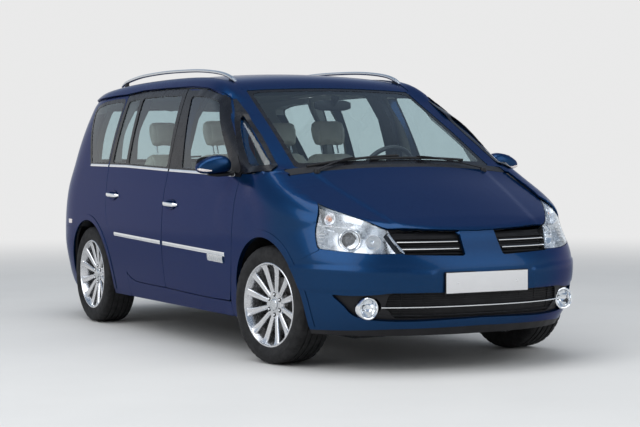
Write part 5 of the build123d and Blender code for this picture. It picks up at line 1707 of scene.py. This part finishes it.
def seat_forms():
    """A seat's cushion, back and headrest, the hip at the origin."""
    side = (0, 1, 0)
    rows = [(22, 25, 180), (40, 44, 222), (120, 50, 236), (260, 48, 238), (400, 50, 236), (490, 46, 228),
            (522, 26, 190)]
    cushion = [((x, 0, -54 + 0.03 * x), (0, 0, 1), side, depth, width) for x, depth, width in rows]
    rows = [(-20, 22, 160), (0, 42, 212), (90, 46, 228), (240, 44, 232), (400, 43, 234), (500, 40, 218),
            (560, 34, 176), (582, 16, 130)]
    back = [(BACK_UP * r - BACK_OUT * 52, BACK_OUT, side, depth, width) for r, depth, width in rows]
    rows = [(0, 12, 92), (14, 26, 112), (60, 36, 122), (110, 37, 124), (150, 30, 116), (168, 12, 92)]
    top = BACK_UP * 590
    head = [
        (top + np.array([-56, 0, 24]) + np.array([-0.24, 0, 0.97]) * r, (0.97, 0, 0.24), side, depth, width)
        for r, depth, width in rows
    ]

    def cushion_seams(p):
        yield np.abs(np.abs(p[:, 1]) - 148), 7 * (p[:, 2] > -40), 6
        for x in (190, 330):
            yield np.abs(p[:, 0] - x) + 60 * (np.abs(p[:, 1]) > 146), 5 * (p[:, 2] > -40), 6

    def back_seams(p):
        rise = p @ BACK_UP
        front = (p @ BACK_OUT) > -50
        yield np.abs(np.abs(p[:, 1]) - 142), 7 * front, 6
        for r in (170, 330, 470):
            yield np.abs(rise - r) + 60 * (np.abs(p[:, 1]) > 140), 5 * front, 6

    def head_seams(p):
        yield np.abs(np.abs(p[:, 1]) - 82), 4.0, 5

    return [
        ("cushion", cover("cushion", pillow(cushion, 3.2), 9, 14, cushion_seams), 0.75),
        ("back", cover("back", pillow(back, 3.2), 9, 14, back_seams), 0.75),
        ("headrest", cover("headrest", pillow(head, 3.0), 6, 9, head_seams), 0.85),
    ]


HIP_HEIGHT = 652


def seats():
    """Five seats: padded cushion, back and headrest, stems, frame and rear shell of each."""
    forms = seat_forms()
    places = [("front_right", 20, -400, 1.0), ("front_left", 20, 400, 1.0),
              ("second_right", -800, -460, 0.86),
              ("second_middle", -800, 0, 0.86), ("second_left", -800, 460, 0.86)]
    replaced = {"front_right_cushion": "front_seats", "second_right_cushion": "second_row_seats"}
    for name, x, y, width in places:
        for kind, form, fill in forms:
            piece = part(f"{name}_{kind}", placed(form, width, x, y, HIP_HEIGHT), LEATHER, "body", sharp=80)
            if piece.name in replaced:
                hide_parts(replaced[piece.name])
        stems = [
            swept([np.array([x - 56, y + k, HIP_HEIGHT]) + BACK_UP * r for r in (560, 600, 640)], 11, 11)
            for k in (-62, 62)
        ]
        part(f"{name}_stems", joined(stems), CHROME, "body")
        base = [soft_box((x + 230, y, 520), (420, 400 * width, 46), 8)]
        for foot_x, foot_z, size, edge in ((230, 425, (360, 40, 150), 8), (225, 343, (440, 54, 20), 5)):
            for foot_y in (y - 170 * width, y + 170 * width):
                base.append(soft_box((x + foot_x, foot_y, foot_z), size, edge))
        part(f"{name}_frame", joined(base), TRIM, "body")
        rear_shell = pillow(
            [(np.array([x, y, HIP_HEIGHT]) + BACK_UP * r - BACK_OUT * 98, BACK_OUT, (0, 1, 0), 7, w * width)
             for r, w in ((10, 150), (60, 190), (300, 205), (500, 190), (545, 150))], 4)
        part(f"{name}_rear_shell", rear_shell, TRIM, "body")


def steering_wheel():
    centre = np.array([585.0, 380.0, 1045.0])
    tilt = radians(24)
    axis = np.array([-cos(tilt), 0, sin(tilt)])
    up = np.array([sin(tilt), 0, cos(tilt)])
    ring = []
    for k in range(64):
        t = 2 * pi * k / 64
        out = up * cos(t) + np.array([0, 1, 0]) * sin(t)
        grip = 14.5 + 1.3 * exp_bump(t, pi / 2) + 1.3 * exp_bump(t, 3 * pi / 2)
        ring.append([centre + out * (185 + grip * cos(a)) + axis * grip * sin(a) * 1.1
                     for a in np.linspace(0, 2 * pi, 17)[:-1]])
    made = part("steering_wheel_rim", rings_shape(ring, caps=False, loop=True), DARK_LEATHER,
                "steering_wheel", sharp=80)
    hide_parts("steering_wheel")
    spokes = []
    for turn in (75, 285, 160, 200):
        t = radians(turn)
        out = up * cos(t) + np.array([0, 1, 0]) * sin(t)
        path = [centre + out * r - axis * (24 - r * 0.1) for r in (40, 90, 140, 178)]
        spokes.append(swept(path, 30, 14, 14, 2.8, up=tuple(axis), taper=[1.3, 1.05, 0.9, 0.8]))
    part("steering_wheel_spokes", joined(spokes), SATIN, "steering_wheel")
    hub = turned([(-46, 34), (-40, 58), (-16, 68), (-6, 66), (0, 54), (3, 30), (4, 0.01)], centre, axis, 48)
    part("steering_wheel_hub", hub, TRIM, "steering_wheel")
    column = turned([(-230, 34), (-60, 36), (-44, 42)], centre, axis, 32)
    part("steering_column", column, TRIM, "steering_wheel")


def exp_bump(t, at, width=0.5):
    return float(np.exp(-((t - at) / width) ** 2))


def cabin():
    """Instrument hood, air vents, centre screen, gear console and the inside mirror."""
    hood = swept([(1010, y, 1058 + 16 * cos(y * pi / 1300)) for y in np.linspace(-320, 320, 17)], 190, 26,
                 16, 3, up=(0, 0, 1), taper=[0.5, 0.8] + [1.0] * 13 + [0.8, 0.5])
    part("dash_hood", hood, TRIM, "body")
    vents = []
    for y in (-560, -110, 110, 560):
        for k in range(5):
            vents.append(soft_box((872, y, 968 + k * 12), (20, 120, 4), 1.2))
        vents.append(turned([(-4, 66), (4, 68), (4, 62), (-4, 60)], (866, y, 992), (-1, 0, 0.1), 32,
                            closed=True))
    part("dash_vents", joined(vents), PLASTIC, "body")
    part("dash_screen", soft_box((880, 0, 905), (16, 230, 90), 5), GLOSS_BLACK, "body")
    part("gear_console", joined([soft_box((760, 0, 560), (260, 180, 180), 30, segments=4),
                                 soft_box((700, 0, 668), (60, 50, 70), 18, segments=4)]), TRIM, "body")
    mirror = swept([(560, y, 1478) for y in np.linspace(-125, 125, 11)], 34, 66, 20, 2.8, up=(0, 0, 1),
                   taper=[0.6, 0.85] + [1.0] * 7 + [0.85, 0.6])
    part("inside_mirror", mirror, PLASTIC, "body")
    part("inside_mirror_foot", turned([(0, 26), (16, 24), (44, 15), (60, 12)], (600, 0, 1530),
                                      (-0.4, 0, -0.9), 24), PLASTIC, "body")
    for name, x0, x1 in (("front", 80, 960), ("rear", -860, -90)):
        arm = [(x, 640, 800 + 30 * (x - x0) / (x1 - x0)) for x in np.linspace(x0 + 60, x1 - 160, 12)]
        pair(f"{name}_SIDE_armrest", swept(arm, 70, 46, 16, 3, taper=[0.5, 0.85] + [1.0] * 8 + [0.85, 0.5]),
             LEATHER, f"{name}_SIDE_door")


glazing()
wheels()
seats()
steering_wheel()
cabin()
headlamps()
fog_lamps()
tail_lamps()
grilles()
plate("front", "body", 2327, 489, 1)
side_trim()
handles()
mirrors()
wipers()
roof_bars()
rear_details()

# ---------------------------------------------------------------- floor, light and camera

PALE = 0.82


def seen_rays(tree):
    """1 for rays from the camera, from gloss and through glass, 0 for those that light the object."""
    path = tree.nodes.new("ShaderNodeLightPath")
    total = path.outputs["Is Camera Ray"]
    for name in ("Is Glossy Ray", "Is Transmission Ray"):
        node = tree.nodes.new("ShaderNodeMath")
        node.operation = "MAXIMUM"
        tree.links.new(total, node.inputs[0])
        tree.links.new(path.outputs[name], node.inputs[1])
        total = node.outputs[0]
    return total


def floor_material():
    """A pale floor that turns into the even background a few metres from the car."""
    look = Look("floor", (0.62, 0.62, 0.615), 0.7).mottle(0.7, 0.02, 0.05)
    length = look.node("ShaderNodeVectorMath", operation="LENGTH")
    look.join(look.place(), length.inputs[0])
    far = look.ramp(length.outputs["Value"], 4.5, 13.0, 0, 1)
    glow = look.node("ShaderNodeEmission", Color=(PALE, PALE, PALE, 1))
    share = look.maths("MULTIPLY", far, seen_rays(look.tree))
    look.blend(share, look.shader.outputs[0], glow.outputs[0])
    return look.material


def studio():
    """A pale floor, a soft sky for gloss and glass, and three large lamps."""
    points = [(x, y, 0) for x, y in ((-60, -60), (60, -60), (60, 60), (-60, 60))]
    mesh = bpy.data.meshes.new("floor")
    mesh.from_pydata(points, [], [(0, 1, 2, 3)])
    link("floor", mesh, floor_material())
    world = bpy.data.worlds.new("studio")
    bpy.context.scene.world = world
    world.use_nodes = True
    tree = world.node_tree
    light = tree.nodes["Background"]
    light.inputs["Color"].default_value = (0.9, 0.95, 1.0, 1)
    light.inputs["Strength"].default_value = 0.5
    seen, place, split, ramp, mix = (tree.nodes.new(f"ShaderNode{kind}") for kind in (
        "Background", "TexCoord", "SeparateXYZ", "ValToRGB", "MixShader"))
    tree.links.new(place.outputs["Generated"], split.inputs[0])
    tree.links.new(split.outputs["Z"], ramp.inputs[0])
    stops = [(0.0, (PALE, PALE, PALE)), (0.14, (PALE, PALE, PALE)), (0.3, (0.5, 0.58, 0.7)),
             (0.6, (0.26, 0.34, 0.46)), (1.0, (0.2, 0.27, 0.37))]
    ramp.color_ramp.elements[0].position, ramp.color_ramp.elements[1].position = stops[0][0], stops[-1][0]
    for position, _ in stops[1:-1]:
        ramp.color_ramp.elements.new(position)
    for element, (_, colour) in zip(ramp.color_ramp.elements, stops):
        element.color = (*colour, 1)
    tree.links.new(ramp.outputs[0], seen.inputs["Color"])
    for source, target in zip((seen_rays(tree), light.outputs[0], seen.outputs[0]), mix.inputs):
        tree.links.new(source, target)
    tree.links.new(mix.outputs[0], tree.nodes["World Output"].inputs["Surface"])
    for name, where, target, power, size in (
        ("key", (3.0, -8.5, 7.0), (0, 0, 0.6), 600, 9.0),
        ("fill", (9.0, 4.5, 6.0), (0.5, 0, 0.7), 300, 8.0),
        ("top", (1.0, -1.0, 9.5), (0.5, -0.5, 0), 420, 7.0),
    ):
        data = bpy.data.lights.new(name, "AREA")
        data.energy, data.size = power, size
        lamp = bpy.data.objects.new(name, data)
        lamp.location = where
        lamp.rotation_mode = "QUATERNION"
        lamp.rotation_quaternion = (Vector(target) - Vector(where)).to_track_quat("-Z", "Y")
        bpy.context.scene.collection.objects.link(lamp)
    bpy.context.scene.view_settings.view_transform = "Standard"


CAMERA_PLACE = (10.330, -5.196, 1.2232)
CAMERA_LENS, SENSOR_WIDTH = 99.16, 36


def camera():
    """The photograph's camera; turn, dip and roll are in radians."""
    turn, dip, roll = 2.6602, 0.0381, -0.0055
    ahead = Vector((cos(turn) * cos(dip), sin(turn) * cos(dip), -sin(dip)))
    right = Vector((sin(turn), -cos(turn), 0))
    over = right.cross(ahead)
    level_right = cos(roll) * right + sin(roll) * over
    level_up = -sin(roll) * right + cos(roll) * over
    data = bpy.data.cameras.new("camera")
    data.sensor_width, data.sensor_fit, data.lens = SENSOR_WIDTH, "HORIZONTAL", CAMERA_LENS
    data.clip_end = 200
    o = bpy.data.objects.new("camera", data)
    basis = Matrix((level_right, level_up, -ahead)).transposed()
    o.matrix_world = Matrix.Translation(CAMERA_PLACE) @ basis.to_4x4()
    bpy.context.scene.collection.objects.link(o)
    bpy.context.scene.camera = o


studio()
camera()
